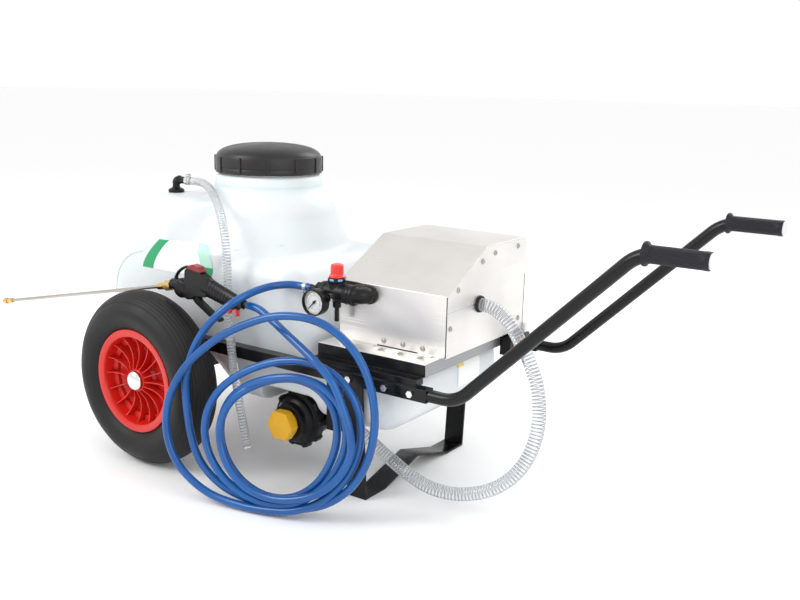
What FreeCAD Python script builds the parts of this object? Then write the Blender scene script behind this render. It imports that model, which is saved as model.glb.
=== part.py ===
import FreeCAD, Part
import Sketcher
import math
import os
from FreeCAD import Vector, Rotation, Placement

# Wheeled sprayer cart. Millimetres. X runs from the front (-X) to the handles (+X),
# -Y is the side with the hose coil and the spray gun, Z is up and the floor is Z = 0.

doc = FreeCAD.newDocument("wheeled_sprayer_cart")
sheet = doc.addObject("Spreadsheet::Sheet", "sizes")

X = Vector(1, 0, 0)
Y = Vector(0, 1, 0)
Z = Vector(0, 0, 1)


class Size:
    """A number together with the expression that gives it from the sheet."""

    def __init__(self, value, text):
        self.value = value
        self.text = text

    def _with(self, other, sign, flip=False):
        a, b = (as_size(other), self) if flip else (self, as_size(other))
        table = {"+": a.value + b.value, "-": a.value - b.value, "*": a.value * b.value,
                 "/": a.value / b.value if b.value else 0.0}
        return Size(table[sign], "(%s %s %s)" % (a.text, sign, b.text))

    def __add__(self, other):
        return self._with(other, "+")

    def __radd__(self, other):
        return self._with(other, "+", True)

    def __sub__(self, other):
        return self._with(other, "-")

    def __rsub__(self, other):
        return self._with(other, "-", True)

    def __mul__(self, other):
        return self._with(other, "*")

    def __rmul__(self, other):
        return self._with(other, "*", True)

    def __truediv__(self, other):
        return self._with(other, "/")

    def __neg__(self):
        return self._with(-1, "*")

    def __float__(self):
        return float(self.value)


def as_size(number):
    if isinstance(number, Size):
        return number
    return Size(float(number), repr(float(number)))


rows = []


def size(alias, value):
    """Put one driving dimension in the sheet and give it back as a Size."""
    cell = "B%d" % (len(rows) + 1)
    sheet.set("A%d" % (len(rows) + 1), alias)
    sheet.set(cell, str(value))
    sheet.setAlias(cell, alias)
    rows.append(alias)
    return Size(float(value), "sizes." + alias)


# ---- driving dimensions -----------------------------------------------------------
ax = size("axle_x", -305)
axle_z = size("axle_z", 200)
axle_r = size("axle_r", 10)
rail_y = size("rail_y", 233)
rail_w = size("rail_width", 26)
rail_z = size("rail_z", 278)
rail_wall = size("rail_wall", 2)
rail_front = size("rail_front", -240)
rail_rear = size("rail_rear", 700)
tube_r = size("handle_tube_r", 12.5)
grip_z = size("grip_z", 604)
grip_r = size("grip_r", 15.5)
grip_front = size("grip_front", 1100)
grip_end = size("grip_end", 1208)
low_bend = size("lower_bend_x", 760)
high_bend = size("upper_bend_x", 1093)
leg_front = size("leg_front", 477)
leg_wide = size("leg_wide", 50)
leg_foot_y = size("leg_foot_y", 199.5)
leg_top_y = size("leg_top_y", 220)
leg_rise = size("leg_rise", 38)
bar_thick = size("bar_thick", 5)
tray_front = size("tray_front", 410)
tray_rear = size("tray_rear", 676)
tray_half = size("tray_half", 217)
tray_z = size("tray_z", 332)
sheet_t = size("sheet_thick", 2)
angle_t = size("angle_thick", 3)
angle_h = size("angle_height", 25)
wheel_r = size("wheel_r", 200)
wheel_y = size("wheel_y", 326)
tyre_half = size("tyre_half", 54)
rim_r = size("rim_r", 118)
rim_half = size("rim_half", 42)
rim_wall = size("rim_wall", 4)
hub_r = size("hub_r", 26)
bush_r = size("bush_r", 14)
run_fit = size("running_fit", 0.05)
cap_r = size("hub_cap_r", 22.7)
box_front = size("box_front", 425)
box_rear = size("box_rear", 690)
box_half = size("box_half", 163)
box_shoulder = size("box_shoulder_z", 459)
box_top = size("box_top_z", 540)
box_ridge = size("box_ridge_y", -10)
tank_half = size("tank_half", 205)
tank_wall = size("tank_wall", 5)
tower_x = size("tower_x", 79)
neck_r = size("neck_r", 115)
neck_bore = size("neck_bore", 104)
neck_top = size("neck_top", 687)
hump_z = size("hump_z", 590)
lid_r = size("lid_r", 126.5)
lid_low = size("lid_low", 650)
lid_top = size("lid_top", 719)
reg_y = size("regulator_y", -190)
reg_z = size("regulator_z", 437)
reg_r = size("regulator_r", 20)
knob_x = size("knob_x", 438)
gauge_x = size("gauge_x", 417)
gauge_z = size("gauge_z", 421)
gauge_r = size("gauge_r", 28.3)
gauge_y = size("gauge_face_y", -245)
filter_x = size("filter_x", 311)
filter_z = size("filter_z", 125)
filter_ring_r = size("filter_ring_r", 68)
filter_cap_r = size("filter_cap_r", 34)
suction_r = size("suction_hose_r", 14)
blue_r = size("blue_hose_r", 8.25)
vent_r = size("vent_hose_r", 9.5)
gun_y = size("gun_y", -285)
lance_r = size("lance_r", 4)
bolt_r = size("bolt_r", 4)


# ---- helpers ----------------------------------------------------------------------
def bind(obj, prop, number):
    """Set a property from a Size or a plain number."""
    if isinstance(number, Size):
        obj.setExpression(prop, number.text)
    else:
        holder = obj
        steps = prop.split(".")
        if len(steps) == 1:
            setattr(holder, prop, number)
        else:
            obj.setExpression(prop, repr(float(number)))


def place(obj, where, rotation=None):
    if rotation is not None:
        obj.Placement = Placement(Vector(0, 0, 0), rotation)
    for letter, number in zip("xyz", where):
        bind(obj, "Placement.Base." + letter, as_size(number))
    return obj


def facing(axis):
    return Rotation(Z, axis)


def name_it(obj, label):
    obj.Label = label
    return obj


def box(label, low, span):
    obj = doc.addObject("Part::Box", label)
    bind(obj, "Length", span[0])
    bind(obj, "Width", span[1])
    bind(obj, "Height", span[2])
    return name_it(place(obj, low), label)


def rod(label, radius, length, start, axis):
    obj = doc.addObject("Part::Cylinder", label)
    bind(obj, "Radius", radius)
    bind(obj, "Height", length)
    return name_it(place(obj, start, facing(axis)), label)


def taper(label, radius1, radius2, length, start, axis):
    obj = doc.addObject("Part::Cone", label)
    bind(obj, "Radius1", radius1)
    bind(obj, "Radius2", radius2)
    bind(obj, "Height", length)
    return name_it(place(obj, start, facing(axis)), label)


def hexagon(label, across, length, start, axis):
    obj = doc.addObject("Part::Prism", label)
    obj.Polygon = 6
    bind(obj, "Circumradius", as_size(across) / 1.7320508)
    bind(obj, "Height", length)
    return name_it(place(obj, start, facing(axis)), label)


def join(label, parts):
    obj = doc.addObject("Part::MultiFuse", label)
    obj.Shapes = parts
    obj.Refine = True
    return name_it(obj, label)


def apart(label, parts):
    """One part made of separate solids that do not touch."""
    obj = doc.addObject("Part::Compound", label)
    obj.Links = parts
    return name_it(obj, label)


def take(label, base, tool):
    obj = doc.addObject("Part::Cut", label)
    obj.Base = base
    obj.Tool = tool
    return name_it(obj, label)


def plane_of(body, role):
    for feature in body.Origin.OriginFeatures:
        if feature.Role == role:
            return feature
    return None


def outline(body, role, points):
    """A closed sketch whose corners are held by distances from the origin."""
    sketch = body.newObject("Sketcher::SketchObject", body.Name + "_sketch")
    sketch.AttachmentSupport = [(plane_of(body, role), "")]
    sketch.MapMode = "FlatFace"
    sizes_2d = [(as_size(u), as_size(v)) for u, v in points]
    corners = [Vector(u.value, v.value, 0) for u, v in sizes_2d]
    count = len(corners)
    for i in range(count):
        sketch.addGeometry(Part.LineSegment(corners[i], corners[(i + 1) % count]), False)
    for i in range(count):
        sketch.addConstraint(Sketcher.Constraint("Coincident", i, 2, (i + 1) % count, 1))
    for i, (u, v) in enumerate(sizes_2d):
        for kind, number in (("DistanceX", u), ("DistanceY", v)):
            if abs(number.value) < 1e-9:
                on_axis = -2 if kind == "DistanceX" else -1
                sketch.addConstraint(Sketcher.Constraint("PointOnObject", i, 1, on_axis))
                continue
            index = sketch.addConstraint(Sketcher.Constraint(kind, -1, 1, i, 1, number.value))
            sketch.setExpression("Constraints[%d]" % index, number.text)
    return sketch


def turned(label, points, where=(0, 0, 0), axis=Z):
    """A body turned about an axis from (radius, height) corners."""
    body = doc.addObject("PartDesign::Body", label)
    sketch = outline(body, "XZ_Plane", points)
    turn = body.newObject("PartDesign::Revolution", label + "_turn")
    turn.Profile = sketch
    turn.ReferenceAxis = (sketch, ["V_Axis"])
    turn.Angle = 360
    body.Tip = turn
    return name_it(place(body, where, facing(axis)), label)


def padded(label, points, length, where=(0, 0, 0), rotation=Rotation(), role="XY_Plane"):
    """A body padded from an outline."""
    body = doc.addObject("PartDesign::Body", label)
    sketch = outline(body, role, points)
    pad = body.newObject("PartDesign::Pad", label + "_pad")
    pad.Profile = sketch
    bind(pad, "Length", length)
    body.Tip = pad
    return name_it(place(body, where, rotation), label)


# Rotation that stands an XY outline up in the YZ plane and pads it along +X.
ALONG_X = Rotation(Vector(0, 1, 0), Vector(0, 0, 1), Vector(1, 0, 0), "ZXY")
# Rotation that stands an XY outline up in the XZ plane and pads it along -Y.
ALONG_MINUS_Y = Rotation(Vector(1, 0, 0), Vector(0, 0, 1), Vector(0, -1, 0), "ZXY")


def shaped(label, shape, placement=Placement()):
    """A part whose shape comes from sweeps and arcs that primitives cannot give."""
    obj = doc.addObject("Part::Feature", label)
    obj.Shape = shape
    obj.Placement = placement
    return name_it(obj, label)


def spin(points, centre, axis):
    """A solid of revolution from a wire of points; a triple marks an arc through its middle."""
    edges = []
    for a, b in zip(points, points[1:] + points[:1]):
        start = Vector(a[0], 0, a[1])
        end = Vector(b[0], 0, b[1])
        if len(a) == 4:
            edges.append(Part.Arc(start, Vector(a[2], 0, a[3]), end).toShape())
        else:
            edges.append(Part.LineSegment(start, end).toShape())
    face = Part.Face(Part.Wire(edges))
    solid = face.revolve(Vector(0, 0, 0), Z, 360)
    solid.Placement = Placement(centre, facing(axis))
    return solid


def corner_radius(points, i):
    """Largest tidy bend at one corner of a route: 0.45 of the shorter run."""
    before = points[i] - points[i - 1]
    after = points[i + 1] - points[i]
    half = before.getAngle(after) / 2
    return 0.45 * min(before.Length, after.Length) / math.tan(half)


def routed(points, radii=None):
    """A wire of straight runs joined by tangent arcs."""
    edges = []
    last = points[0]
    for i in range(1, len(points) - 1):
        before = (points[i] - points[i - 1]).normalize()
        after = (points[i + 1] - points[i]).normalize()
        half = before.getAngle(after) / 2
        radius = radii[i - 1] if radii else corner_radius(points, i)
        back = radius * math.tan(half)
        start = points[i] - before * back
        end = points[i] + after * back
        inward = (after - before).normalize()
        middle = points[i] + inward * (radius / math.cos(half) - radius)
        edges.append(Part.LineSegment(last, start).toShape())
        edges.append(Part.Arc(start, middle, end).toShape())
        last = end
    edges.append(Part.LineSegment(last, points[-1]).toShape())
    return Part.Wire(edges)


def swept(path, radius):
    """A round bar along a wire."""
    start = path.OrderedVertexes[0].Point
    first = path.OrderedEdges[0]
    direction = first.tangentAt(first.FirstParameter)
    if (first.valueAt(first.FirstParameter) - start).Length > 1e-6:
        direction = first.tangentAt(first.LastParameter) * -1
    ring = Part.Wire([Part.Circle(start, direction, radius).toShape()])
    return path.makePipeShell([ring], True, False)


def hose(label, points, radius):
    """A free hose: its solid, with the bend radii and the volume printed."""
    points = [Vector(float(ax) + p[0], p[1], p[2]) for p in points]
    path = routed(points)
    solid = swept(path, radius)
    bends = [round(corner_radius(points, i)) for i in range(1, len(points) - 1)]
    section = math.pi * radius ** 2
    print(label, "bends", bends, "length %.0f" % path.Length,
          "volume ratio %.4f" % (solid.Volume / (section * path.Length)))
    return shaped(label, solid)


def both_sides(build):
    """Build one thing for the near side (-1) and one for the far side (+1)."""
    return [build(side, word) for side, word in ((-1, "near"), (1, "far"))]


# ---- frame: rails, axle beam, straps and tray frame welded together -----------------
half_rail = rail_w / 2
bolt_places = [size("handle_bolt_1", 603), size("handle_bolt_2", 664),
               size("leg_bolt_1", 490), size("leg_bolt_2", 514)]
strap_y = size("strap_y", 220)
strap_t = size("strap_thick", 4)
spacer_low = rail_z + half_rail


def rail(side, word):
    outer = box("rail_%s_outer" % word,
                (ax + rail_front, side * rail_y - half_rail, rail_z - half_rail),
                (rail_rear - rail_front, rail_w, rail_w))
    inner = box("rail_%s_inner" % word,
                (ax + rail_front - 1, side * rail_y - half_rail + rail_wall,
                 rail_z - half_rail + rail_wall),
                (rail_rear - rail_front + 2, rail_w - rail_wall * 2, rail_w - rail_wall * 2))
    return take("rail_%s" % word, outer, inner)


def hanger(side, word):
    return box("hanger_" + word, (ax - 22, side * rail_y - 7, axle_z + 12),
               (44, 14, rail_z - half_rail - axle_z - 12))


def strap(word, start, wide, low):
    pieces = [box("strap_%s_floor" % word, (ax + start, -strap_y, low - strap_t),
                  (wide, strap_y * 2, strap_t))]
    for side, name in ((-1, "near"), (1, "far")):
        y = -strap_y if side < 0 else strap_y - strap_t
        pieces.append(box("strap_%s_%s" % (word, name), (ax + start, y, low - strap_t),
                          (wide, strap_t, rail_z + half_rail - low + strap_t)))
    return pieces


def spacer(side, word):
    y = -(rail_y + 7) if side < 0 else tray_half - angle_t
    return box("spacer_" + word, (ax + tray_front, y, spacer_low),
               (tray_rear - tray_front - 4, rail_y + 7 - tray_half + angle_t,
                tray_z - sheet_t - angle_h - spacer_low))


def tray_angle(side, word):
    top = tray_z - sheet_t
    y = -tray_half if side < 0 else tray_half - angle_t
    y_top = -tray_half if side < 0 else tray_half - 30
    web = box("tray_web_" + word, (ax + tray_front, y, top - angle_h),
              (tray_rear - tray_front, angle_t, angle_h))
    flange = box("tray_flange_" + word, (ax + tray_front, y_top, top - angle_t),
                 (tray_rear - tray_front, 30, angle_t))
    return join("tray_side_" + word, [web, flange])


def tray_cross(word, x_web, x_flange):
    top = tray_z - sheet_t
    web = box("tray_cross_web_" + word, (ax + x_web, -tray_half, top - angle_h),
              (angle_t, tray_half * 2, angle_h))
    flange = box("tray_cross_flange_" + word, (ax + x_flange, -tray_half, top - angle_t),
                 (30, tray_half * 2, angle_t))
    return join("tray_cross_" + word, [web, flange])


beam = box("axle_beam_bar", (ax - 15, -(rail_y + half_rail), axle_z - 15),
           (30, (rail_y + half_rail) * 2, 30))
welded = both_sides(rail) + both_sides(hanger) + [beam]
welded += strap("front", size("strap_front_x", -236), 40, size("tank_front_floor", 221))
welded += strap("rear", size("strap_rear_x", 436), 34, size("tank_rear_floor", 149))
welded += both_sides(spacer) + both_sides(tray_angle)
welded += [tray_cross("front", tray_front, tray_front),
           tray_cross("rear", tray_rear - angle_t, tray_rear - 30)]
frame_solid = join("frame_welded", welded)
holes = [rod("bolt_hole_%d" % i, bolt_r, 540, (ax + x, -270, rail_z), Y)
         for i, x in enumerate(bolt_places)]
bolt_holes = join("bolt_holes", holes)
axle_bore = rod("axle_bore", axle_r, 540, (ax, -270, axle_z), Y)
take("frame", take("frame_bored", frame_solid, axle_bore), bolt_holes)

rod("axle", axle_r, size("axle_length", 732), (ax, -366, axle_z), Y)

# ---- stand: one bent flat bar ---------------------------------------------------
leg_top = size("leg_top", 289)
near_half = [(-leg_top_y, leg_top), (-leg_foot_y, 0), (-leg_foot_y + 71.5, 0),
             (0, leg_rise - 2.5)]
inner_half = [(0, leg_rise + 2.5), (-leg_foot_y + 68.5, bar_thick),
              (-leg_foot_y + bar_thick, bar_thick), (-leg_top_y + bar_thick, leg_top)]


def mirrored(points):
    return [(-as_size(u), v) for u, v in reversed(points)]


stand_outline = near_half + mirrored(near_half)[1:] + mirrored(inner_half)[:-1] + inner_half
stand_bar = padded("stand_bar", stand_outline, leg_wide, (ax + leg_front, 0, 0), ALONG_X)
take("stand", stand_bar, bolt_holes)


def bolt(word, side, x, grip):
    outside = rail_y + half_rail
    y0 = side * outside
    head = hexagon("head_" + word, 13, 5.3, (ax + x, y0, rail_z), Y * side)
    shank = rod("shank_" + word, bolt_r, grip, (ax + x, y0, rail_z), Y * -side)
    nut = hexagon("nut_" + word, 13, 6.5, (ax + x, y0 - side * grip, rail_z), Y * -side)
    tail = rod("tail_" + word, bolt_r, 9, (ax + x, y0 - side * grip, rail_z), Y * -side)
    return join("bolt_" + word, [head, shank, nut, tail])


apart("handle_bolts", [bolt("h%d%s" % (i, word), side, bolt_places[i], rail_w)
                       for i in (0, 1) for side, word in ((-1, "n"), (1, "f"))])
apart("stand_bolts", [bolt("s%d%s" % (i, word), side, bolt_places[i], rail_w + 6.8)
                      for i in (2, 3) for side, word in ((-1, "n"), (1, "f"))])


# ---- handles ------------------------------------------------------------------
spigot_start = size("spigot_start", 590)
bend_radius = size("bend_radius", 75)


def handle(side, word):
    y = side * float(rail_y)
    corners = [(float(rail_rear), float(rail_z)), (float(low_bend), float(rail_z)),
               (float(high_bend), float(grip_z)), (float(grip_end), float(grip_z))]
    points = [Vector(float(ax) + u, y, v) for u, v in corners]
    path = routed(points, [float(bend_radius)] * 2)
    tube = swept(path, float(tube_r)).cut(swept(path, float(tube_r) - 2))
    inner = float(rail_w) / 2 - float(rail_wall) - 0.05
    start = Vector(float(ax) + float(spigot_start), y, float(rail_z))
    length = float(rail_rear) - float(spigot_start)
    spigot = Part.makeCylinder(inner, length, start, X)
    spigot = spigot.cut(Part.makeCylinder(inner - 2, length, start, X))
    collar = Part.makeCylinder(float(tube_r), 6, points[0], X)
    collar = collar.cut(Part.makeCylinder(inner - 2, 6, points[0], X))
    whole = tube.fuse([spigot, collar]).removeSplitter()
    tube_obj = shaped("handle_tube_" + word, whole)
    return take("handle_" + word, tube_obj, bolt_holes)


both_sides(handle)


def grip(side, word):
    reach = grip_end - grip_front
    profile = [(tube_r, 0), (21, 0), (21, 6), (grip_r, 8), (grip_r, reach - 3),
               (grip_r - 1.5, reach), (tube_r, reach)]
    return turned("grip_" + word, profile, (ax + grip_front, rail_y * side, grip_z), X)


both_sides(grip)


def plug(side, word):
    bore = tube_r - 2
    profile = [(0, -18), (bore, -18), (bore, 0), (13.5, 0), (13.5, 2.5), (11.5, 4), (0, 4)]
    return turned("plug_" + word, profile, (ax + grip_end, rail_y * side, grip_z), X)


apart("grip_plugs", both_sides(plug))

# ---- tray sheet -----------------------------------------------------------------
tray_flat = box("tray_flat", (ax + tray_front, -tray_half, tray_z - sheet_t),
                (tray_rear - tray_front + sheet_t, tray_half * 2, sheet_t))
tray_lip = box("tray_lip", (ax + tray_rear, 3 - tray_half, tray_z - sheet_t - angle_h),
               (sheet_t, size("lip_length", 299), angle_h + sheet_t))
join("tray_sheet", [tray_flat, tray_lip])


# ---- tank -----------------------------------------------------------------------
def prism_y(points, half, ends, rounding):
    """A block with an XZ outline, its upright and rim edges rounded."""
    corners = [Vector(float(ax) + u, -half, v) for u, v in points]
    face = Part.Face(Part.makePolygon(corners + corners[:1]))
    block = face.extrude(Vector(0, 2 * half, 0))
    cross = [e for e in block.Edges if abs(e.tangentAt(e.FirstParameter).y) > 0.99]
    chosen = []
    for e in cross:
        middle = e.CenterOfMass
        for (u, v), radius in ends.items():
            if abs(middle.x - float(ax) - u) < 0.5 and abs(middle.z - v) < 0.5:
                chosen.append((e, radius))
    for edge, radius in chosen:
        block = block.makeFillet(radius, [nearest(block, edge)])
    rims = [e for e in block.Edges
            if abs(abs(e.CenterOfMass.y) - half) < 0.01 and wanted(e, rounding[1])]
    return block.makeFillet(rounding[0], rims)


def nearest(block, edge):
    target = edge.CenterOfMass
    return min(block.Edges, key=lambda e: (e.CenterOfMass - target).Length)


def wanted(edge, keep_out):
    """Leave out the rim edges that end inside a neighbouring block."""
    middle = edge.CenterOfMass
    return not any(abs(middle.x - float(ax) - u) < 1.0 for u in keep_out)


def tank_body(inset):
    """The tank's outer form, or the same form brought in by the wall thickness."""
    half = float(tank_half) - inset
    top = float(hump_z) - inset
    brow = -184 + 0.55 * inset
    hump_end = 110 - inset
    hump = prism_y([(-270 + inset, 222 + inset), (-300 + inset, 330), (-291 + inset, 425),
                    (brow, top), (hump_end, top), (hump_end, 222 + inset)], half,
                   {(-270 + inset, 222 + inset): 45 - inset, (-300 + inset, 330): 100,
                    (-291 + inset, 425): 120, (brow, top): 78 - inset},
                   (72 - inset, (hump_end,)))
    # The hump narrows toward the tower: a slanting cut on each side, above the shoulder.
    shift = 1.1 * inset
    for side in (-1, 1):
        cheek = [(-60, half + 40), (130, half + 40), (130, 118 - shift),
                 (-60, float(tank_half) - shift)]
        corners = [Vector(float(ax) + u, side * v, 482 - inset) for u, v in cheek]
        cutter = Part.Face(Part.makePolygon(corners + corners[:1])).extrude(Z * 150)
        hump = hump.cut(cutter)
    start = 60 + inset
    middle = prism_y([(start, 222 + inset), (150, 151 + inset), (395 - inset, 151 + inset),
                      (395 - inset, 345), (300 - inset, 478 - inset), (start, 478 - inset)],
                     half,
                     {(395 - inset, 345): 60, (150, 151 + inset): 50,
                      (300 - inset, 478 - inset): 60},
                     (52 - inset, (start,)))
    start = 330 + inset
    rear = prism_y([(start, 151 + inset), (560, 151 + inset), (622 - inset, 196),
                    (622 - inset, 300 - inset), (start, 300 - inset)], half,
                   {(560, 151 + inset): 60, (622 - inset, 196): 50,
                    (622 - inset, 300 - inset): 45 - inset},
                   (50 - inset, (start,)))
    sump = prism_y([(256 + inset, 200), (256 + inset, 92 + inset), (430 - inset, 92 + inset),
                    (430 - inset, 200)], 100 - inset,
                   {(256 + inset, 92 + inset): 25 - inset, (430 - inset, 92 + inset): 25 - inset},
                   (20 - inset, ()))
    foot = Vector(float(ax) + float(tower_x), 0, 0)
    r = [float(neck_r) - inset, 134 - inset, 165 - inset, half - 2]
    tower = spin([(0, 330), (r[3], 330), (r[3], 445, r[3] - 2, 470), (r[3] - 11, 490),
                  (r[2], 552, r[1] + 19, 585), (r[1], 608), (r[1] - 7, 622 - inset,
                  r[1] - 10, 636 - inset), (r[0], 643 - inset), (r[0], 650), (0, 650)], foot, Z)
    body = hump.fuse([middle, rear, sump, tower]).removeSplitter()
    # A pocket in the lower near edge leaves room for the suction filter.
    pocket = Part.makeBox(162 + 2 * inset, 140, 67,
                          Vector(float(ax) + 230 - inset, -240 + inset, 131 + inset))
    pocket = pocket.makeFillet(18, [e for e in pocket.Edges
                                    if abs(e.tangentAt(e.FirstParameter).y) > 0.9])
    return body.cut(pocket)


outer_form = tank_body(0.0)
inner_form = tank_body(float(tank_wall))
neck_centre = Vector(float(ax) + float(tower_x), 0, 0)
neck = Part.makeCylinder(float(neck_r), float(neck_top) - 640, neck_centre + Z * 640, Z)
bore = Part.makeCylinder(float(neck_bore), float(neck_top) - 560, neck_centre + Z * 561, Z)
spigot_bore = float(size("outlet_bore", 14))
drain_at = Vector(float(ax + filter_x), -110, float(filter_z))
drain = Part.makeCylinder(spigot_bore, 30, drain_at, Y)
vent_at = (size("vent_x", -140), size("vent_y", -95))
vent_hole = Part.makeCylinder(8, 40, Vector(float(ax + vent_at[0]), float(vent_at[1]), 560), Z)
shell = outer_form.fuse(neck).removeSplitter()
shell = shell.cut(inner_form).cut(bore).cut(drain).cut(vent_hole)
print("tank shell solids", len(shell.Solids), "volume litres %.1f" % (inner_form.Volume / 1e6))
shaped("tank_shell", shell.Solids[0] if len(shell.Solids) == 1 else shell)

basket_r = neck_bore - 8
turned("filler_basket", [(0, 0), (basket_r, 0), (basket_r, 103), (neck_r - 2, 103),
                         (neck_r - 2, 105), (basket_r - 2, 105), (basket_r - 2, 2), (0, 2)],
       (ax + tower_x, 0, neck_top - 103), Z)
gasket_low = neck_top + 2
turned("lid_gasket", [(neck_bore - 5, 0), (neck_r - 2, 0), (neck_r - 2, 4), (neck_bore - 5, 4)],
       (ax + tower_x, 0, gasket_low), Z)
lid_in = neck_r + 3.5
skirt = lid_top - lid_low
turned("tank_lid", [(0, skirt), (24, skirt - 0.7), (48, skirt - 2.5), (90, skirt - 12),
                    (lid_r - 7, skirt - 22), (lid_r - 2, skirt - 29), (lid_r, skirt - 35),
                    (lid_r, 2), (lid_r - 1.5, 0), (lid_in, 0), (lid_in, skirt - 25),
                    (0, skirt - 25)], (ax + tower_x, 0, lid_low), Z)

# Vent elbow: a threaded foot on the hump, then a right-angle barb toward the handles.
elbow_foot = (ax + vent_at[0], vent_at[1], hump_z)
arm_z = hump_z + 31
join("vent_elbow", [
    taper("vent_foot", 19, 15, 10, elbow_foot, Z),
    rod("vent_thread", 7.9, 24, (elbow_foot[0], elbow_foot[1], hump_z - 15), Z),
    rod("vent_riser", 12, 41, elbow_foot, Z),
    rod("vent_arm", 8.5, 34, (elbow_foot[0], elbow_foot[1], arm_z), X)])

# ---- wheels ---------------------------------------------------------------------
rib_count = 16


def wheel(side, word):
    centre = (ax, wheel_y * side, axle_z)
    outward = Y * side
    well = rim_r - 14
    web_at = rim_half - 34
    barrel = turned("barrel_" + word,
                    [(well - rim_wall, -rim_half), (rim_r, -rim_half), (rim_r, rim_wall - rim_half),
                     (well, rim_wall - rim_half), (well, rim_half - rim_wall),
                     (rim_r, rim_half - rim_wall), (rim_r, rim_half), (well - rim_wall, rim_half)],
                    centre, outward)
    web = turned("web_" + word, [(bush_r, web_at), (well - 2, web_at), (well - 2, web_at + 4),
                                 (bush_r, web_at + 4)], centre, outward)
    hub = turned("hub_" + word, [(bush_r, -33), (hub_r, -33), (hub_r, 33), (bush_r, 33)],
                 centre, outward)
    ribs = []
    for i in range(rib_count):
        blade = doc.addObject("Part::Box", "rib_%s_%d" % (word, i))
        bind(blade, "Length", well - hub_r - 2)
        bind(blade, "Width", 3)
        bind(blade, "Height", 24)
        angle = 360.0 * i / rib_count
        tilt = facing(outward) * Rotation(Z, angle)
        start = Vector(float(hub_r) - 2, -1.5, float(web_at) + 2)
        moved = tilt.multVec(start)
        place(blade, (ax + moved.x, wheel_y * side + moved.y, axle_z + moved.z), tilt)
        ribs.append(blade)
    join("rim_" + word, [barrel, web, hub] + ribs)
    shoulder = float(tyre_half)
    seat = float(rim_r) - 14
    lip = float(rim_half) - float(rim_wall)
    crown = float(wheel_r)
    rubber = spin([(seat, -lip), (float(rim_r) + 1, -lip, 148, -shoulder),
                   (crown - 22, 12 - shoulder, crown - 5.5, -24), (crown, 0, crown - 5.5, 24),
                   (crown - 22, shoulder - 12, 148, shoulder), (float(rim_r) + 1, lip),
                   (seat, lip)], Vector(0, 0, 0), Z)
    shaped("tyre_" + word, rubber,
           Placement(Vector(float(ax), float(wheel_y) * side, float(axle_z)), facing(outward)))
    turned("bush_" + word, [(axle_r + run_fit, -34), (bush_r, -34), (bush_r, 34),
                            (axle_r + run_fit, 34)], centre, outward)


both_sides(wheel)


def hub_cap(side, word):
    return turned("cap_" + word, [(axle_r, -4), (cap_r, -4), (cap_r, -1), (cap_r - 3, 3),
                                  (cap_r * 0.6, 6.5), (0, 8), (0, 1), (axle_r, 1)],
                  (ax, side * 365, axle_z), Y * side)


apart("hub_caps", both_sides(hub_cap))

# ---- pump box -------------------------------------------------------------------
cover_out = [(-box_half, tray_z), (-box_half, box_shoulder), (box_ridge, box_top),
             (box_half, box_top), (box_half, tray_z)]
cover_in = [(-box_half + sheet_t, tray_z), (-box_half + sheet_t, box_shoulder - 1.2),
            (box_ridge + 0.5, box_top - sheet_t), (box_half - sheet_t, box_top - sheet_t),
            (box_half - sheet_t, tray_z)]
cover_sheet = padded("cover_sheet", cover_out + cover_in[::-1], box_rear - box_front,
                     (ax + box_front, 0, 0), ALONG_X)
elbow_x = size("elbow_x", 503)
take("box_cover", cover_sheet, rod("elbow_hole", 9, 20, (ax + elbow_x, -170, reg_z), Y))
padded("box_end_front", cover_in, sheet_t, (ax + box_front, 0, 0), ALONG_X)
panel = padded("end_sheet", cover_in, sheet_t, (ax + box_rear - sheet_t, 0, 0), ALONG_X)
hose_y = size("grommet_y", -36)
hose_z = size("grommet_z", 423)
take("box_end_rear", panel, rod("grommet_hole", 16, 20, (ax + box_rear - 10, hose_y, hose_z), X))
turned("box_grommet", [(suction_r + 0.2, -7), (18, -7), (18, -2), (16, -2), (16, 0), (18, 0),
                       (17, 5), (suction_r + 0.2, 5)], (ax + box_rear, hose_y, hose_z), X)

rear_screws = [(23, 522), (124, 524), (-29, 511), (-123, 466), (-149, 392), (140, 360)]
screws = []
for i, (y, z) in enumerate(rear_screws):
    screws.append(taper("screw_r%d" % i, 5, 3.6, 2.4, (ax + box_rear, y, z), X))
for i, x in enumerate((540, 588, 636)):
    screws.append(taper("screw_w%d" % i, 5, 3.6, 2.4, (ax + x, -box_half, tray_z + 13), -Y))
    screws.append(taper("screw_l%d" % i, 5, 3.6, 2.4, (ax + x + 8, -185, tray_z), Z))
for i, (x, z) in enumerate(((683, 496), (683, 359))):
    screws.append(taper("screw_f%d" % i, 5, 3.6, 2.4, (ax + x, box_half, z), Y))
apart("box_screws", screws)

box("battery", (ax + 440, 40, tray_z), (150, 99, 95))
motor_y = size("pump_y", -60)
motor_z = size("pump_z", 387)
join("pump_motor", [rod("motor_can", 32, 104, (ax + 446, motor_y, motor_z), X),
                    box("motor_foot", (ax + 462, motor_y - 36, tray_z), (72, 72, 30))])
join("pump_head", [rod("head_disc", 44, 30, (ax + 550, motor_y, motor_z), X),
                   box("head_block", (ax + 580, motor_y - 38, motor_z - 38), (24, 76, 76))])

socket = box("socket_block", (ax + tray_rear, 88, 284), (26, 62, 42))
rocker_at = (ax + tray_rear + 26, size("rocker_y", 108), size("rocker_z", 305))
recess = box("rocker_recess", (rocker_at[0] - 10, rocker_at[1] - 7, rocker_at[2] - 12),
             (20, 14, 24))
take("charge_socket", socket, recess)
rocker = padded("switch_rocker", [(-5, -11), (2.5, -10.6), (0.5, 0), (2.5, 10.6), (-5, 11)], 13,
                (rocker_at[0], rocker_at[1] + 6.5, rocker_at[2]), ALONG_MINUS_Y)

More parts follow.
